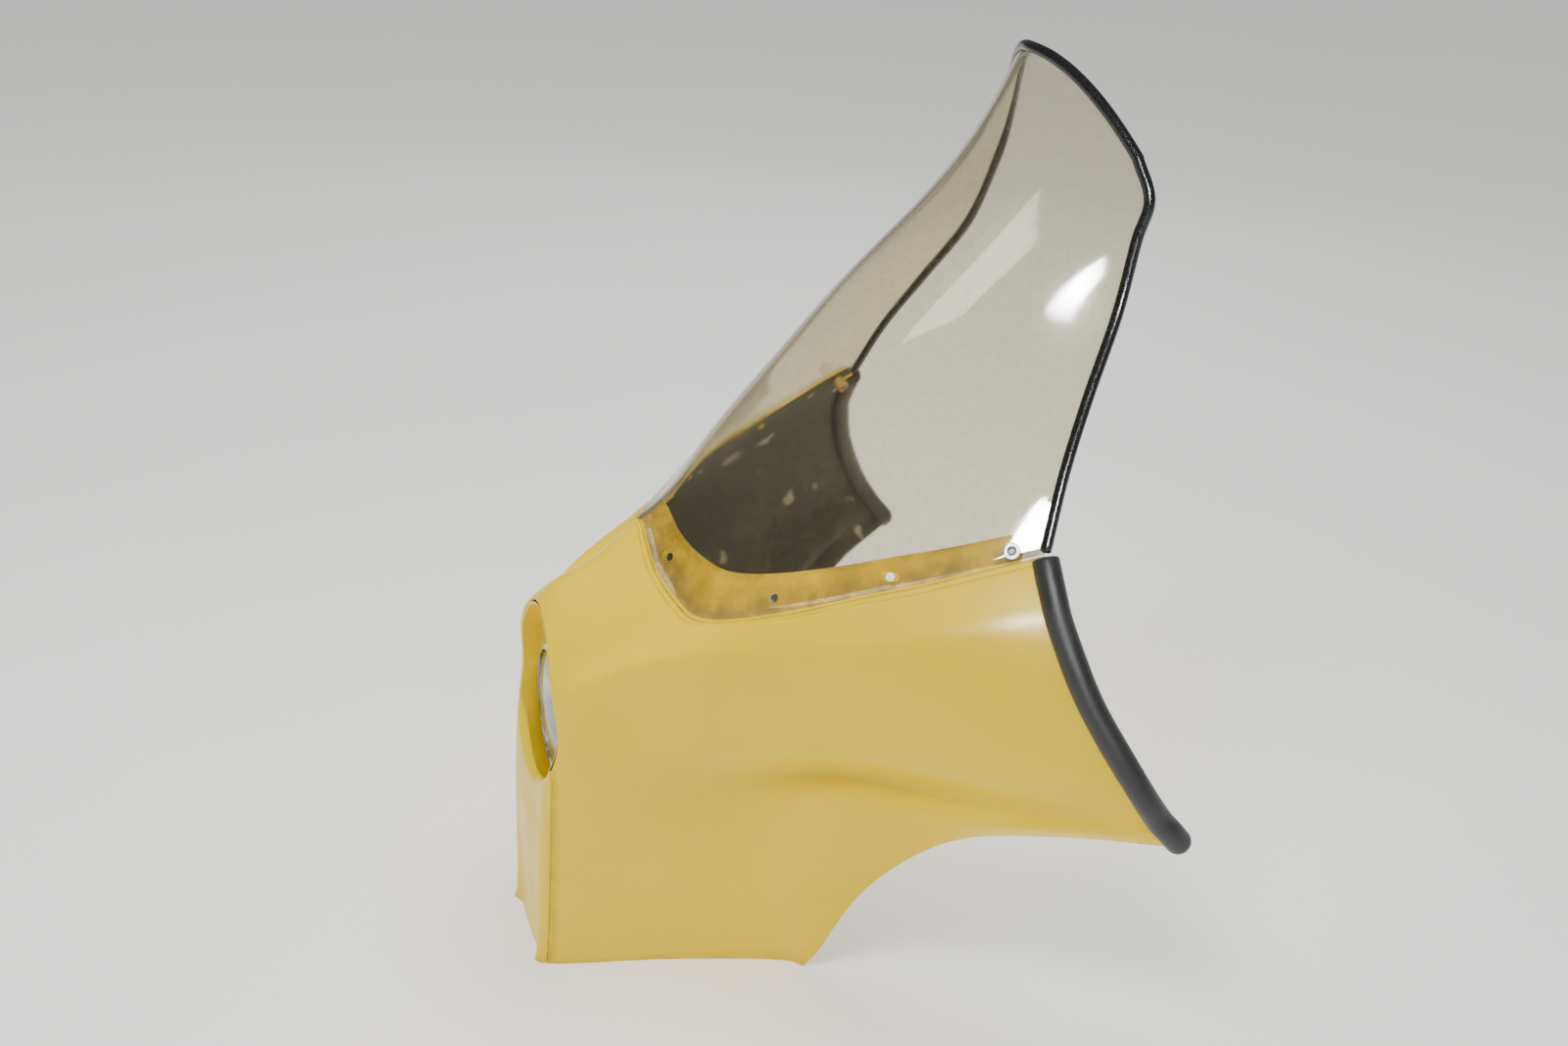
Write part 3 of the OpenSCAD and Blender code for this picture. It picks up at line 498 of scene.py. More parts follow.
# Smoked cast acrylic: clear and glossy, with wiping scratches, and road dirt held at the base.
ACRYLIC, tree, shader, coords = material(
    "smoked_acrylic", IOR=1.49, Transmission_Weight=1.0, Specular_IOR_Level=0.5)
grain = add(tree, "Mapping",
            {"Vector": coords, "Scale": (700, 24, 90), "Rotation": (0.2, 0.9, 0.3)})
wipe = add(tree, "TexNoise", {"Vector": grain, "Scale": 1, "Detail": 3})
wipe = add(tree, "ValToRGB", {"Fac": wipe}, [(0.6, 0.0), (0.72, 1.0)])
wipe = add(tree, "Math", {0: wipe, 1: 0.05}, **TIMES)
haze = add(tree, "TexNoise", {"Vector": coords, "Scale": 9, "Detail": 4})
haze = add(tree, "ValToRGB", {"Fac": haze}, [(0.35, 0.02), (0.8, 0.10)])
grime_and_shade_share = add(tree, "Attribute", out="Fac", attribute_name="grime_and_shade")
cloud = add(tree, "TexNoise", {"Vector": coords, "Scale": 45, "Detail": 6, "Roughness": 0.7})
cloud = add(tree, "ValToRGB", {"Fac": cloud}, [(0.35, 0.2), (0.6, 1.0)])
smudge = add(tree, "Math", {0: grime_and_shade_share, 1: cloud}, **TIMES)
share = add(tree, "Math", {0: smudge, 1: 0.6}, **TIMES)
fill(tree, shader, {
    "Base Color": add(tree, "Mix", {0: share, 6: "#e4dfc6", 7: "#7d6638"}, **COLOURS),
    "Roughness": add(tree, "Math", {0: haze, 1: wipe}, **PLUS)})
motes = add(tree, "TexNoise", {"Vector": coords, "Scale": 130, "Detail": 5, "Roughness": 0.7})
motes = add(tree, "ValToRGB", {"Fac": motes}, [(0.45, 0.01), (0.8, 0.09)])
dust = add(tree, "Math", {0: smudge, 1: 0.5}, **TIMES)
dust = add(tree, "Math", {0: dust, 1: motes}, **PLUS)
film = add(tree, "BsdfDiffuse", {"Color": "#8c8468"})
dusty = add(tree, "MixShader", {0: dust, 1: shader.outputs[0], 2: film})
shadow = add(tree, "LightPath", out="Is Shadow Ray")
through = add(tree, "BsdfTransparent", {"Color": "#e4dfc6"})
both = add(tree, "MixShader", {0: shadow, 1: dusty, 2: through})
fill(tree, tree.nodes["Material Output"], {"Surface": both})

# Extruded PVC edge moulding: deep black and glossy, drawn lengthwise.
PVC, tree, shader, coords = material(
    "extruded_black_pvc", IOR=1.53, Coat_Weight=0.3, Coat_Roughness=0.08)
drawn = add(tree, "Mapping", {"Vector": coords, "Scale": (60, 60, 60)})
lines = add(tree, "TexNoise", {"Vector": drawn, "Scale": 6, "Detail": 4})
grain = add(tree, "TexNoise", {"Vector": coords, "Scale": 180, "Detail": 3})
fill(tree, shader, {
    "Base Color": add(tree, "ValToRGB", {"Fac": lines}, [(0.35, "#0c0c0e"), (0.7, "#1a1a1c")]),
    "Roughness": add(tree, "ValToRGB", {"Fac": lines}, [(0.3, 0.22), (0.7, 0.34)]),
    "Normal": add(tree, "Bump", {"Height": grain, "Distance": 0.08 * MM, "Strength": 0.6})})

# Moulded soft foam tube with a skin: charcoal, satin, faintly wrinkled and greyed by dust.
FOAM, tree, shader, coords = material(
    "foam_tube_black_skin", IOR=1.5, Sheen_Weight=0.15, Sheen_Roughness=0.5)
worn = add(tree, "TexNoise", {"Vector": coords, "Scale": 24, "Detail": 5, "Roughness": 0.6})
skin = add(tree, "ValToRGB", {"Fac": worn}, [(0.32, "#1a1a1c"), (0.6, "#262628"), (0.8, "#3c3b3b")])
pores = add(tree, "TexNoise", {"Vector": coords, "Scale": 900, "Detail": 2})
pores = add(tree, "Math", {0: pores, 1: 0.25}, **TIMES)
wrinkle = add(tree, "TexNoise", {"Vector": coords, "Scale": 95, "Detail": 4, "Roughness": 0.6})
wrinkle = add(tree, "Math", {0: wrinkle, 1: pores}, **PLUS)
fill(tree, shader, {
    "Base Color": skin,
    "Roughness": add(tree, "ValToRGB", {"Fac": worn}, [(0.3, 0.42), (0.75, 0.62)]),
    "Normal": add(tree, "Bump", {"Height": wrinkle, "Distance": 0.7 * MM, "Strength": 0.6})})


def metal(name, light, dark, rough, per_m=120, rust=None, depth=0.06):
    """Metal whose colour and roughness drift between two values; rust shows in spots."""
    m, tree, shader, coords = material(name, Metallic=1.0)
    drift = add(tree, "TexNoise", {"Vector": coords, "Scale": per_m, "Detail": 5, "Roughness": 0.6})
    colour = add(tree, "ValToRGB", {"Fac": drift}, [(0.3, dark), (0.7, light)])
    if rust:
        spots = add(tree, "TexNoise",
                    {"Vector": coords, "Scale": per_m * 2.2, "Detail": 5, "Roughness": 0.7})
        spots = add(tree, "ValToRGB", {"Fac": spots}, [(0.56, 0.0), (0.66, 1.0)])
        spots = add(tree, "Math", {0: spots, 1: 0.8}, **TIMES)
        colour = add(tree, "Mix", {0: spots, 6: colour, 7: rust}, **COLOURS)
    grain = add(tree, "TexNoise", {"Vector": coords, "Scale": per_m * 4, "Detail": 3})
    fill(tree, shader, {
        "Base Color": colour,
        "Roughness": add(tree, "ValToRGB", {"Fac": drift}, [(0.25, rough), (0.8, rough + 0.16)]),
        "Normal": add(tree, "Bump", {"Height": grain, "Distance": depth * MM, "Strength": 0.5})})
    return m


def plastic(name, light, dark, rough, per_m=60, depth=0.08, grain_per_m=500):
    """Moulded plastic or rubber with a slow drift of colour and a fine grain."""
    m, tree, shader, coords = material(name, IOR=1.5)
    drift = add(tree, "TexNoise", {"Vector": coords, "Scale": per_m, "Detail": 4})
    grain = add(tree, "TexNoise", {"Vector": coords, "Scale": grain_per_m, "Detail": 3})
    fill(tree, shader, {
        "Base Color": add(tree, "ValToRGB", {"Fac": drift}, [(0.3, dark), (0.7, light)]),
        "Roughness": add(tree, "ValToRGB", {"Fac": drift}, [(0.3, rough), (0.75, rough + 0.12)]),
        "Normal": add(tree, "Bump", {"Height": grain, "Distance": depth * MM, "Strength": 0.6})})
    return m


# Zinc plating on steel: dull bright grey, with brown bloom where the plating has gone
ZINC = metal("zinc_plated_steel", "#a3a6a8", "#707375", 0.34, 300, "#7a4a22")
# Pressed steel with a thin zinc coat
PRESSED = metal("pressed_zinced_steel", "#b4b6b6", "#8b8c8a", 0.34, 60, "#6b4a2c")
# Pressed steel in stoved black enamel
ENAMEL = plastic("stoved_black_enamel", "#1c1c1d", "#101011", 0.32, 50, 0.04, 700)
# Bright chromium plate
CHROME = metal("chromium_plate", "#e6e7e8", "#d2d3d4", 0.06, 30, None, 0.01)
# Aluminium evaporated on lacquered steel: a mirror
ALUMINISED = metal("aluminised_reflector", "#f1f2f2", "#e2e4e4", 0.05, 20, None, 0.01)
# Plated cap of the bulb
CAP = metal("bulb_cap_plate", "#b9b096", "#8f876f", 0.3, 200)
# Free-cutting brass of the tapped inserts
BRASS = metal("turned_brass", "#c9a358", "#a5823f", 0.26, 140)
# Clip wire and strip in spring steel
SPRING = metal("spring_steel", "#9c9da0", "#6f7074", 0.3, 160)
# Neoprene of the flanged nuts, tanned by age
TAN_RUBBER = plastic("aged_neoprene", "#b79a6c", "#95794e", 0.6, 120)
# Black rubber of the boot and the seal
RUBBER = plastic("black_rubber", "#232324", "#151516", 0.58, 80, 0.12)
# Natural nylon of the adjuster's cup
NYLON = plastic("natural_nylon", "#ddd8c8", "#c9c2ae", 0.42, 90)
# Glass-filled nylon of the lugs
LUG_NYLON = plastic("glass_filled_nylon", "#2b2b2c", "#1d1d1e", 0.5, 70, 0.1, 800)

# Pressed soda glass of the lamp: clear and faintly green, with dust in its flutes
GLASS, tree, shader, coords = material("pressed_lamp_glass", IOR=1.52, Transmission_Weight=1.0)
dust = add(tree, "TexNoise", {"Vector": coords, "Scale": 70, "Detail": 4, "Roughness": 0.6})
fill(tree, shader, {
    "Base Color": add(tree, "ValToRGB", {"Fac": dust}, [(0.3, "#eef2ee"), (0.8, "#dde0d8")]),
    "Roughness": add(tree, "ValToRGB", {"Fac": dust}, [(0.35, 0.03), (0.8, 0.22)])})
shadow = add(tree, "LightPath", out="Is Shadow Ray")
through = add(tree, "BsdfTransparent", {"Color": "#eef2ee"})
both = add(tree, "MixShader", {0: shadow, 1: shader.outputs[0], 2: through})
fill(tree, tree.nodes["Material Output"], {"Surface": both})

# ------------------------------------------------------------------ shell and nose


def flange_points():
    """Outer face of the flange that carries the screen, under its inner face."""
    out = []
    steps = 6
    for r in range(steps + 1):
        rise = r / steps * FLANGE_H
        t = max(0, (rise - FLANGE_H + FLANGE_CORNER) / FLANGE_CORNER)
        full_reach = MID - FLANGE_SHORT
        pull = 1 - 1.2 * (1 - math.sqrt(1 - t * t)) / full_reach
        out.append([on_screen(rise / FOOT_SPAN * K, MID + (i - MID) * pull,
                              -(SCREEN_T + FLANGE_GAP))[0] for i in range(COLS)])
    return np.array(out)


def rebate_points():
    """Last rows of the skin, made finer round the shallow step the screen's edge sits in."""
    back_rows = 6
    part = body[ROWS - 1 - back_rows:][::-1]
    part_n = normals(body)[ROWS - 1 - back_rows:][::-1]
    along = np.concatenate([np.zeros((1, COLS)),
                            np.cumsum(np.linalg.norm(np.diff(part, axis=0), axis=2), axis=0)])
    out = []
    drops = ((REBATE_W + 2.4, 0), (REBATE_W + 0.9, 0), (REBATE_W + 0.45, 0.12),
             (REBATE_W, 0.5), (REBATE_W - 0.45, REBATE_D), (REBATE_W / 2, REBATE_D),
             (1.6, REBATE_D), (0.7, REBATE_D), (0, REBATE_D))
    even = [0.25, 0.5, 0.75]
    for d, drop in [(f, 0) for f in even] + list(drops):
        row = np.empty((COLS, 3))
        for i in range(COLS):
            start = REBATE_W + 3.5
            place = along[-1, i] * (1 - d) + start * d if len(out) < len(even) else d
            point = [np.interp(place, along[:, i], part[:, i, k]) for k in range(3)]
            n = [np.interp(place, along[:, i], part_n[:, i, k]) for k in range(3)]
            row[i] = np.array(point) - unit(np.array(n)) * drop
        out.append(row)
    return np.concatenate([body[:ROWS - back_rows], np.array(out)])


flange = flange_points()
skin = rebate_points()
LINE = len(skin) - 1
full = np.concatenate([skin, flange])
cols = np.arange(COLS - 1)
rows = np.arange(full.shape[0] - 1)
in_nose = (cols >= MID - SEAM) & (cols < MID + SEAM)


def set_grime_and_shade(obj, share):
    """Writes each point's share of dirt and painted shade, from a function of its place in mm."""
    co = np.empty(len(obj.data.vertices) * 3)
    obj.data.vertices.foreach_get("co", co)
    values = share(co.reshape(-1, 3) / MM)
    obj.data.attributes.new("grime_and_shade", "FLOAT", "POINT").data.foreach_set(
        "value", np.clip(values, 0, 1).astype(np.float32))


def near(points, path, reach):
    """1 on a path and 0 beyond reach of it."""
    best = np.full(len(points), 1e9)
    for p in path:
        best = np.minimum(best, np.sum((points - p) ** 2, axis=1))
    return np.clip(1 - np.sqrt(best) / reach, 0, 1)


seam_path = np.concatenate([body[:SILL + 1, MID + SEAM], body[:SILL + 1, MID - SEAM]])
line_path = skin[LINE]
step_path = skin[LINE - 5]
hem_path = flange[-1]


def shell_grime_and_shade(p):
    # The flange under the screen is darkened partly by dirt and partly as painted shade, standing
    # in for the smoked sheet in front of it; more so towards the front.
    over = near(p, flange[1:].reshape(-1, 3), 3.6) > 0
    ahead_of = np.clip((105 - np.abs(p[:, 0])) / 60, 0, 1)
    return np.maximum.reduce([
        near(p, line_path, 2.4), near(p, step_path, 0.8) * 0.9,
        near(p, hem_path, 4.5) * 0.95, over * (0.58 + 0.4 * ahead_of),
        near(p, seam_path, 1.6) * 0.55, np.clip(1 - p[:, 2] / 7, 0, 1) * 0.35])


def hole_place(m, side):
    """Place of a hole of the screen, with Z out along the sheet's normal."""
    p, n = on_screen(HOLE_ROW, MID + side * HOLE_COLS[m])
    z = Vector(n)
    x = Vector((0, 0, 1)).cross(z).normalized()
    place = Matrix((x, z.cross(x), z)).transposed().to_4x4()
    place.translation = Vector(p * MM)
    return place


def cutter_at(place, radius, slot, depth=14.0):
    """Round or slotted cutter that stands along Z of a place."""
    deselect()
    bpy.ops.mesh.primitive_cylinder_add(vertices=24, radius=radius * MM, depth=2 * depth * MM)
    c = bpy.context.object
    for v in c.data.vertices:
        v.co.x += math.copysign(slot / 2 * MM, v.co.x) if abs(v.co.x) > 1e-7 else 0
    c.data.transform(place)
    return c


HOLE_ROW = FLANGE_H * HOLE_RISE / FOOT_SPAN * K
HOLE_COLS = [1.05 * K, 4.3 * K, 6.3 * K, 8.4 * K]


def cut_holes(obj, radius, slots):
    """Cuts the row of holes, of which every second one can be a slot."""
    cutters = [cutter_at(hole_place(m, side), radius, SLOT_L if slots and m % 2 == 0 else 0)
               for m in range(len(HOLE_COLS)) for side in (-1, 1)]
    cut(obj, joined("cutters", cutters))


keep = np.ones((len(rows), len(cols)), bool)
keep[:TOP, in_nose] = False
# The flange stops short of the rear edges
keep[LINE:, :FLANGE_SHORT] = False
keep[LINE:, -FLANGE_SHORT:] = False
shell = grid_object("fairing_shell_skin", full, keep)
wall(shell, SHELL_T, YELLOW, LAMINATE)
round_edges(shell, 0.9, 2, 52)
cut_holes(shell, 4.26, False)
set_grime_and_shade(shell, shell_grime_and_shade)
smooth(shell, 38)
finish(shell, "fairing", "fairing_shell", "paint")

# How far the panel's rolled top runs back, from one seam to the other
from_seam = SEAM - np.abs(np.arange(2 * SEAM + 1) - SEAM)
LIP_RUN = LIP_DEPTH * np.sin(np.pi / 2 * np.clip(from_seam / 5, 0, 1))
NEAR_D = 0.4 + SHELL_T + SURROUND_T


def drawn_in(d, y=None):
    """The opening's loop drawn in by d in the XZ plane, at its own or at a given Y."""
    t = np.roll(loop, -1, axis=0) - np.roll(loop, 1, axis=0)
    o = unit(np.stack([t[:, 2], 0 * t[:, 0], -t[:, 0]], axis=1))
    p = loop - o * d
    p[:, 1] = loop[:, 1] + 0.4 if y is None else y
    return p


panel_points = full.copy()
panel_points[..., 1] -= 0.4
panel_points[:, MID + SEAM, 0] -= 0.7
panel_points[:, MID - SEAM, 0] += 0.7
# The panel's top rolls over into the recess, up to the recess wall
edge = panel_points[SILL].copy()
start = edge - unit(edge - panel_points[SILL - 1]) * 2.5
target = edge.copy()
target[MID - SEAM:MID + SEAM + 1] = np.roll(drawn_in(NEAR_D), SEAM * 2, axis=0)[:2 * SEAM + 1]
target[MID - SEAM:MID + SEAM + 1, 1] = edge[MID - SEAM:MID + SEAM + 1, 1] + LIP_RUN
lip = [start + (target - start) * (math.sin(a), 1 - math.cos(a), math.sin(a))
       for a in np.radians((12, 30, 48, 66, 80, 90))]
panel_points = np.concatenate([panel_points[:SILL], [start], np.array(lip)])
keep = np.zeros((panel_points.shape[0] - 1, len(cols)), bool)
keep[:, in_nose] = True
panel = grid_object("nose_panel_skin", panel_points, keep)
wall(panel, SHELL_T, YELLOW, LAMINATE)
round_edges(panel, 0.9, 2, 52)
set_grime_and_shade(panel, shell_grime_and_shade)
smooth(panel, 38)
finish(panel, "fairing", "nose_panel", "paint")

# ------------------------------------------------------------------ lamp recess


def round_lamp(points, d):
    """Points pushed out to clear the lamp's hole and the screws below it."""
    v = points - (0, 0, LAMP_Z)
    v[:, 1] = 0
    r = np.linalg.norm(v, axis=1)
    low = np.maximum(0, -v[:, 2] / r)
    out = v / r[:, None] * np.maximum(r, HOLE_R + 6 + 12 * low - d)[:, None]
    out[:, 1] = points[:, 1]
    out[:, 2] += LAMP_Z
    return out


def recess_rings():
    """Wall from the opening back to the plate, a fillet, and in to the lamp's hole."""
    front = drawn_in(NEAR_D)
    front[2 * side + across:, 1] += LIP_RUN[:-1]
    back = round_lamp(drawn_in(NEAR_D, PLATE_Y), SURROUND_T)
    centre = np.array([0, PLATE_Y, LAMP_Z])
    v = back - centre
    v[:, 1] = 0
    angle = np.arctan2(v[:, 2], v[:, 0])
    hole = centre + HOLE_R * np.stack([np.cos(angle), 0 * angle, np.sin(angle)], axis=1)
    rings = [front]
    fillet = 3.5
    inward = unit(hole - back)
    forward = unit(front - back)
    for t in (0.08, 0.25, 0.5, 0.75):
        rings.append(front + (back + forward * fillet - front) * t)
    for a in (0, 22.5, 45, 67.5, 90):
        c, s = math.cos(math.radians(a)), math.sin(math.radians(a))
        rings.append(back + forward * fillet * (1 - s) + inward * fillet * (1 - c))
    for t in (0.5, 1.0):
        rings.append(back + inward * fillet + (hole - back - inward * fillet) * t)
    return np.array(rings)


rings = recess_rings()
recess = grid_object("lamp_recess", np.concatenate([rings, rings[:, :1]], axis=1))
bpy.ops.object.mode_set(mode="EDIT")
bpy.ops.mesh.select_all(action="SELECT")
bpy.ops.mesh.remove_doubles(threshold=1e-6)
bpy.ops.object.mode_set(mode="OBJECT")
flat = [p for p in recess.data.polygons if abs(p.normal.y) > 0.9]
if sum(p.normal.y for p in flat) > 0:
    recess.data.flip_normals()
wall(recess, SURROUND_T, YELLOW, LAMINATE)
round_edges(recess, 0.5, 2, 55)
# Darker all round the corner at the back of the recess, round the lamp's hole.
set_grime_and_shade(recess, lambda p: near(p, rings[8][::2], 5) * 0.3)
smooth(recess, 45)
finish(recess, "fairing", "lamp_surround", "paint")

# ------------------------------------------------------------------ screen

SEAT = 0.03
sheet = screen.copy()
sheet[0] = sheet[0] + (sheet[K // 3] - sheet[0]) * SEAT * 3
glass = grid_object("screen_sheet", sheet)
wall(glass, SCREEN_T, ACRYLIC)
round_edges(glass, 0.4, 2, 60)
cut_holes(glass, 4.2, True)


def screen_grime(p):
    return np.maximum.reduce([
        near(p, line_path, 26) * 0.75,
        near(p, screen[:, 0], 9) * 0.35, near(p, screen[:, -1], 9) * 0.35,
        near(p, screen[-1], 9) * 0.3])


set_grime_and_shade(glass, screen_grime)
smooth(glass, 38)
finish(glass, "fairing", "screen", "tinted_sheet")

# ------------------------------------------------------------------ edge trims


ROUND_POINTS = 22          # points of a trim's profile that lie on its outer circle


def grip_profile(r, sheet_t, grip, loose):
    """C profile that grips a sheet: first how far over the sheet, then across it."""
    half = sheet_t / 2 + loose
    start = math.asin(half / r)
    c = grip - r
    angles = [start + (2 * math.pi - 2 * start) * m / (ROUND_POINTS - 1)
              for m in range(ROUND_POINTS)]
    pts = [(c + r * math.cos(a), r * math.sin(a)) for a in angles]
    return pts + [(0.35 * grip, -half), (-0.4, -half), (-0.4, half), (0.35 * grip, half)]


def trim(name, pts, nn, sheet_t, r, grip, loose, turn, ends, swell):
    """Sweep of the profile along an edge; ends are the mm that each end is rounded over."""
    prof = np.array(grip_profile(r, sheet_t, grip, loose))
    pts = np.asarray(pts)
    nn = np.asarray(nn)
    along = np.concatenate([[0], np.cumsum(np.linalg.norm(np.diff(pts, axis=0), axis=1))])
    extra = []
    for which, reach in enumerate(ends):
        for f in (0.06, 0.2, 0.4, 0.7):
            extra.append(reach * f if which == 0 else along[-1] - reach * f)
    places = np.unique(np.concatenate([along, extra]))
    pts = np.stack([np.interp(places, along, pts[:, k]) for k in range(3)], axis=1)
    nn = unit(np.stack([np.interp(places, along, nn[:, k]) for k in range(3)], axis=1))
    t = np.empty_like(pts)
    t[1:-1] = pts[2:] - pts[:-2]
    t[0] = pts[1] - pts[0]
    t[-1] = pts[-1] - pts[-2]
    t = unit(t)
    for _ in range(3):
        t[1:-1] = unit(t[:-2] + 2 * t[1:-1] + t[2:])
    d = unit(np.cross(nn, t)) * turn
    b = unit(np.cross(t, d)) * turn
    c = pts - nn * sheet_t / 2
    rings = []
    for m, place in enumerate(places):
        k = 1.0
        for which, reach in enumerate(ends):
            gone = place if which == 0 else along[-1] - place
            f = min(gone / reach, 1)
            k = min(k, 0.42 + 0.58 * math.sqrt(1 - (1 - f) ** 2))
        ring = []
        for q, (a, h) in enumerate(prof):
            f = k * swell(place) if q < ROUND_POINTS else 1.0
            ring.append(c[m] + d[m] * (grip - r + (a - grip + r) * f) + b[m] * h * f)
        rings.append(ring)
    return tube_object(name, rings)


c = COLS - 1
h = screen.shape[0] - 1
start = 2.5 / FOOT_SPAN * K
up = [start] + list(range(math.ceil(start), h + 1))
path = [(j, c) for j in up] + [(h, i) for i in range(c - 1, -1, -1)] + [(j, 0) for j in up[-2::-1]]
samples = [on_screen(j, i) for j, i in path]
bead = trim("screen_edge_moulding", [p for p, _ in samples], [n for _, n in samples],
            SCREEN_T, BEAD_R, BEAD_R, 0.5, 1, (2.5, 2.5),
            lambda s: 1 + 0.012 * math.sin(s / 31) * math.sin(s / 17 + 1))
round_edges(bead, 0.4, 2, 60)
smooth(bead, 50)
finish(bead, "fairing", "screen_edge_trim", "black_moulding", PVC)

body_n = normals(body)
for side, label in ((1, "left"), (-1, "right")):
    i = COLS - 1 if side > 0 else 0
    last = ROWS - 1
    steps = list(range(0, last))
    pts = [body[j, i] for j in steps] + [body[last, i] * 0.7 + body[last - 1, i] * 0.3]
    nn = [body_n[j, i] for j in steps] + [body_n[last - 1, i]]
    tube = trim("rear_trim_tube_" + label, pts, nn, SHELL_T, TRIM_R, GRIP, 1.0, side, (11, 3),
                lambda s: 1 + 0.02 * math.sin(s / 23 + side) * math.sin(s / 41) - 0.012)
    round_edges(tube, 0.8, 3, 60)
    smooth(tube, 50)
    finish(tube, "fairing", "rear_trim_" + label, "soft_trim", FOAM)

# ------------------------------------------------------------------ screen screws


def screw(name):
    """Pan-head screw on +Z with a tapered cross recess and rolled thread rings."""
    thread = []
    z = -1.0
    while z > -17.5:
        thread += [(2.45, z), (2.1, z - 0.4)]
        z -= 0.8
    outline = [(0, 4.0), (1.4, 3.95), (2.6, 3.7), (3.6, 3.2), (4.2, 2.5), (4.4, 1.9), (4.3, 1.6),
               (2.45, 1.6)] + thread + [(1.6, -18.6), (0, -18.9)]
    s = spun(name, outline, 40)
    deselect()
    bars = []
    for a in (0, 90):
        bpy.ops.mesh.primitive_cube_add(size=1, location=(0, 0, 3.6 * MM),
                                        scale=(4.4 * MM, 0.95 * MM, 3.2 * MM),
                                        rotation=(0, 0, math.radians(a)))
        bpy.ops.object.transform_apply(location=True, rotation=True, scale=True)
        bar = bpy.context.object
        for v in bar.data.vertices:
            if v.co.z < 3.0 * MM:
                v.co.x *= 0.45
                v.co.y *= 0.45
        bars.append(bar)
        deselect()
    for bar in bars:
        cut(s, bar)
    round_edges(s, 0.12, 2, 40)
    return s


def cup_washer(name):
    """Dished washer with a rolled rim."""
    return spun(name, [(2.6, 0.25), (5.2, 0.25), (7.3, 0.3), (7.9, 0.55), (8.0, 0.95), (7.6, 1.25),
                       (6.8, 1.3), (5.0, 1.05), (3.6, 1.3), (2.6, 1.45), (2.6, 0.25)], 48)


screws, washers = [], []
for side in (-1, 1):
    place = hole_place(3, side)
    screws.append(moved(screw("screw"), place @ Matrix.Rotation(0.5 * side, 4, "Z")))
    washers.append(moved(cup_washer("washer"), place))
screws = joined("screen_screw_pair", screws)
smooth(screws, 35)
finish(screws, "fairing", "screen_screws", "zinc_fixings", ZINC)
washers = joined("screen_washer_pair", washers)
smooth(washers, 45)
finish(washers, "fairing", "screen_washers", "zinc_fixings", ZINC)

# ------------------------------------------------------------------ lamp glass

dome_r = (LENS_R ** 2 + LENS_DOME ** 2) / (2 * LENS_DOME)


def dome(r):
    return dome_r - np.sqrt(dome_r ** 2 - r ** 2)


BAR_H = 22.0               # height of a band of flutes
FLUTE_PITCHES = (8.4, 6.2)
FLUTE_DEPTH = 1.3


def lens_sheet(name, back):
    """Face of the lamp glass: smooth in front, with upright flutes and bars behind."""
    n_r, n_a = 46, 160
    pts = np.zeros((n_r + 1, n_a + 1, 3))
    for a in range(n_r + 1):
        r = (LENS_R - (0.8 if back else 0)) * a / n_r
        for b in range(n_a + 1):
            phi = 2 * math.pi * b / n_a
            x, z = r * math.cos(phi), r * math.sin(phi)
            y = CHIN_Y + LENS_S - LENS_DOME + dome(r)
            if back:
                fade = min(1.0, max(0.0, (LENS_R - 5 - r) / 3))
                bands = (z + 200) / BAR_H
                flute = abs(math.sin(math.pi * x / FLUTE_PITCHES[math.floor(bands) % 2]))
                inside = min(1, (0.5 - abs(bands % 1 - 0.5)) * 14)
                y += LENS_T - fade * FLUTE_DEPTH * flute * inside
            pts[a, b] = (x, y, LAMP_Z + z)
    return grid_object(name, pts)


front, rear = lens_sheet("lens_front", False), lens_sheet("lens_back", True)
lens = joined("lamp_glass_fluted", [front, rear])
bpy.ops.object.mode_set(mode="EDIT")
bpy.ops.mesh.select_all(action="SELECT")
bpy.ops.mesh.remove_doubles(threshold=1e-6)
bpy.ops.mesh.select_all(action="DESELECT")
bpy.ops.mesh.select_mode(type="EDGE")
bpy.ops.mesh.select_non_manifold(extend=False)
bpy.ops.mesh.bridge_edge_loops()
bpy.ops.mesh.select_all(action="SELECT")
bpy.ops.mesh.normals_make_consistent(inside=False)
bpy.ops.object.mode_set(mode="OBJECT")
smooth(lens, 50)
finish(lens, "lamp", "lamp_lens", "lamp_glass", GLASS)

# ------------------------------------------------------------------ carried-over nodes


def dress(node, mat):
    """Gives a CAD node a material; its mesh and place stay as they are."""
    obj = NODES[node]
    for slot in obj.material_slots:
        slot.link = "OBJECT"
        slot.material = mat


for node, mat in {
        "well_nuts": TAN_RUBBER, "lamp_carrier": PRESSED, "carrier_screws": ZINC,
        "carrier_nuts": ZINC, "pivot_bolts": ZINC, "lamp_frame": ENAMEL,
        "lamp_rim": CHROME, "lens_gasket": RUBBER,
        "reflector": ALUMINISED, "bulb_glass": GLASS, "bulb_base": CAP, "bulb_clip": SPRING,
        "bulb_boot": RUBBER, "adjuster_socket": NYLON, "adjuster_screw": ZINC,
        "upper_lug_left": LUG_NYLON, "upper_lug_right": LUG_NYLON,
        "lower_lug_left": LUG_NYLON, "lower_lug_right": LUG_NYLON, "lug_inserts": BRASS}.items():
    dress(node, mat)

# ------------------------------------------------------------------ stage, lights, camera

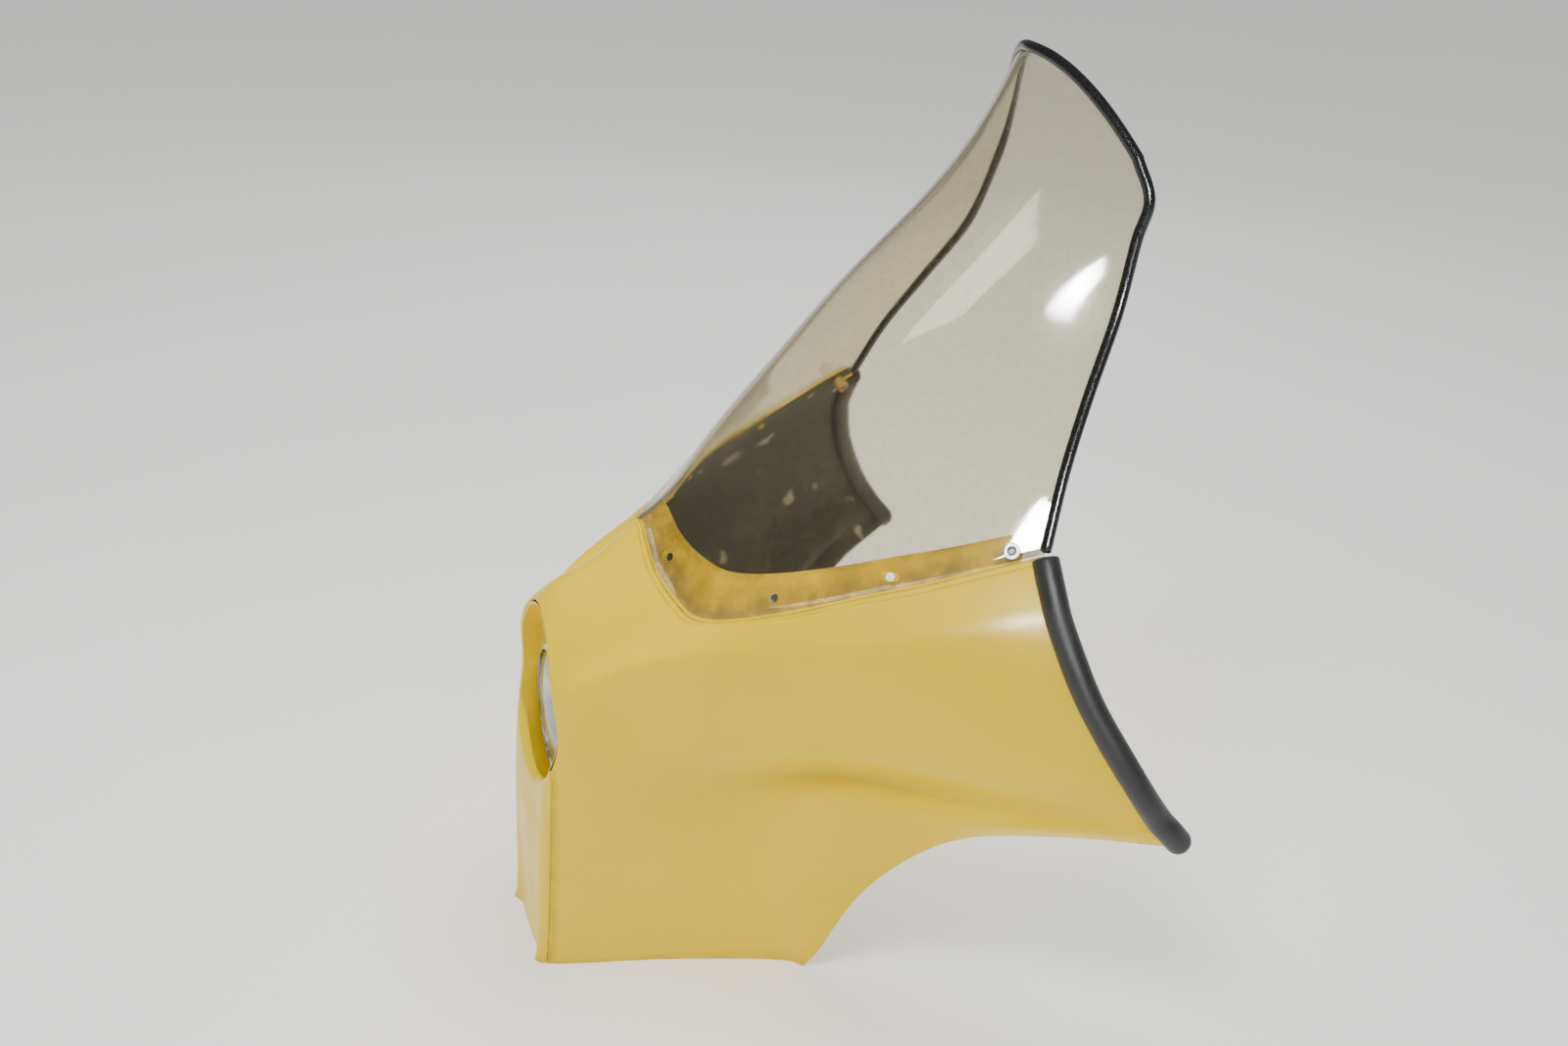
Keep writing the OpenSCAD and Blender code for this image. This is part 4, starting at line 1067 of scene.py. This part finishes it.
# Plain pale floor, matt, with a little drift so that it isn't flat. Its faint glow keeps it
# pale while the lights stay low enough for the yellow.
FLOOR, tree, shader, coords = material(
    "pale_floor", Roughness=0.65, Emission_Color="#f6f5f2", Emission_Strength=0.55)
drift = add(tree, "TexNoise", {"Vector": coords, "Scale": 1.2, "Detail": 3})
drift = add(tree, "ValToRGB", {"Fac": drift}, [(0.3, "#f3f2ef"), (0.7, "#f8f7f5")])
fill(tree, shader, {"Base Color": drift})
deselect()
bpy.ops.mesh.primitive_circle_add(vertices=96, radius=30, fill_type="NGON", location=(0, 0, 0))
floor = bpy.context.object
floor.name = "floor"
floor.data.materials.append(FLOOR)

world = bpy.data.worlds.new("studio")
bpy.context.scene.world = world
world.use_nodes = True
back = world.node_tree.nodes["Background"]
back.inputs["Color"].default_value = rgb("#f3f3f1")
back.inputs["Strength"].default_value = 0.2


def softbox(name, place, target, size, watts, colour="#ffffff"):
    light = bpy.data.lights.new(name, "AREA")
    light.shape = "RECTANGLE"
    light.size, light.size_y = size
    light.energy = watts
    light.color = rgb(colour)[:3]
    obj = bpy.data.objects.new(name, light)
    bpy.context.collection.objects.link(obj)
    obj.location = place
    obj.rotation_euler = (Vector(target) - Vector(place)).to_track_quat("-Z", "Y").to_euler()
    return obj


# The camera stands to the machine's left, a little ahead of it and above
right = Vector((0.33733, 0.93969, 0.05645))
ahead = Vector((-0.83730, 0.32690, -0.43825))
upward = Vector((-0.43027, 0.10057, 0.89708))
eye = Vector((1.3816, -0.55004, 1.1813))
turn = Matrix((right, upward, -ahead)).transposed().to_4x4()
turn.translation = eye
cam_data = bpy.data.cameras.new("camera")
cam_data.sensor_width = 36
cam_data.lens = 37.2
cam = bpy.data.objects.new("camera", cam_data)
bpy.context.collection.objects.link(cam)
cam.matrix_world = turn
bpy.context.scene.camera = cam

middle = (0, 0, 0.4)
softbox("key", (0.9, -1.3, 2.8), middle, (0.9, 0.9), 62).visible_glossy = False
softbox("overhead", (-0.1, 0.4, 3.2), middle, (1.4, 1.4), 50).visible_glossy = False
softbox("far_fill", (-2.6, 1.2, 1.6), middle, (2.0, 1.6), 8).visible_glossy = False

# A window on the near side gives the screen its one hard reflection near the rear edge
p, n = on_screen(0.56 * h, 0.915 * c)
p = Vector(p * MM)
n = Vector(n)
view = (p - eye).normalized()
bounce = view - 2 * view.dot(n) * n
window = softbox("window", p + bounce * 2.2, p, (0.22, 0.9), 1.7)
window.visible_diffuse = False
window.data.spread = math.radians(14)
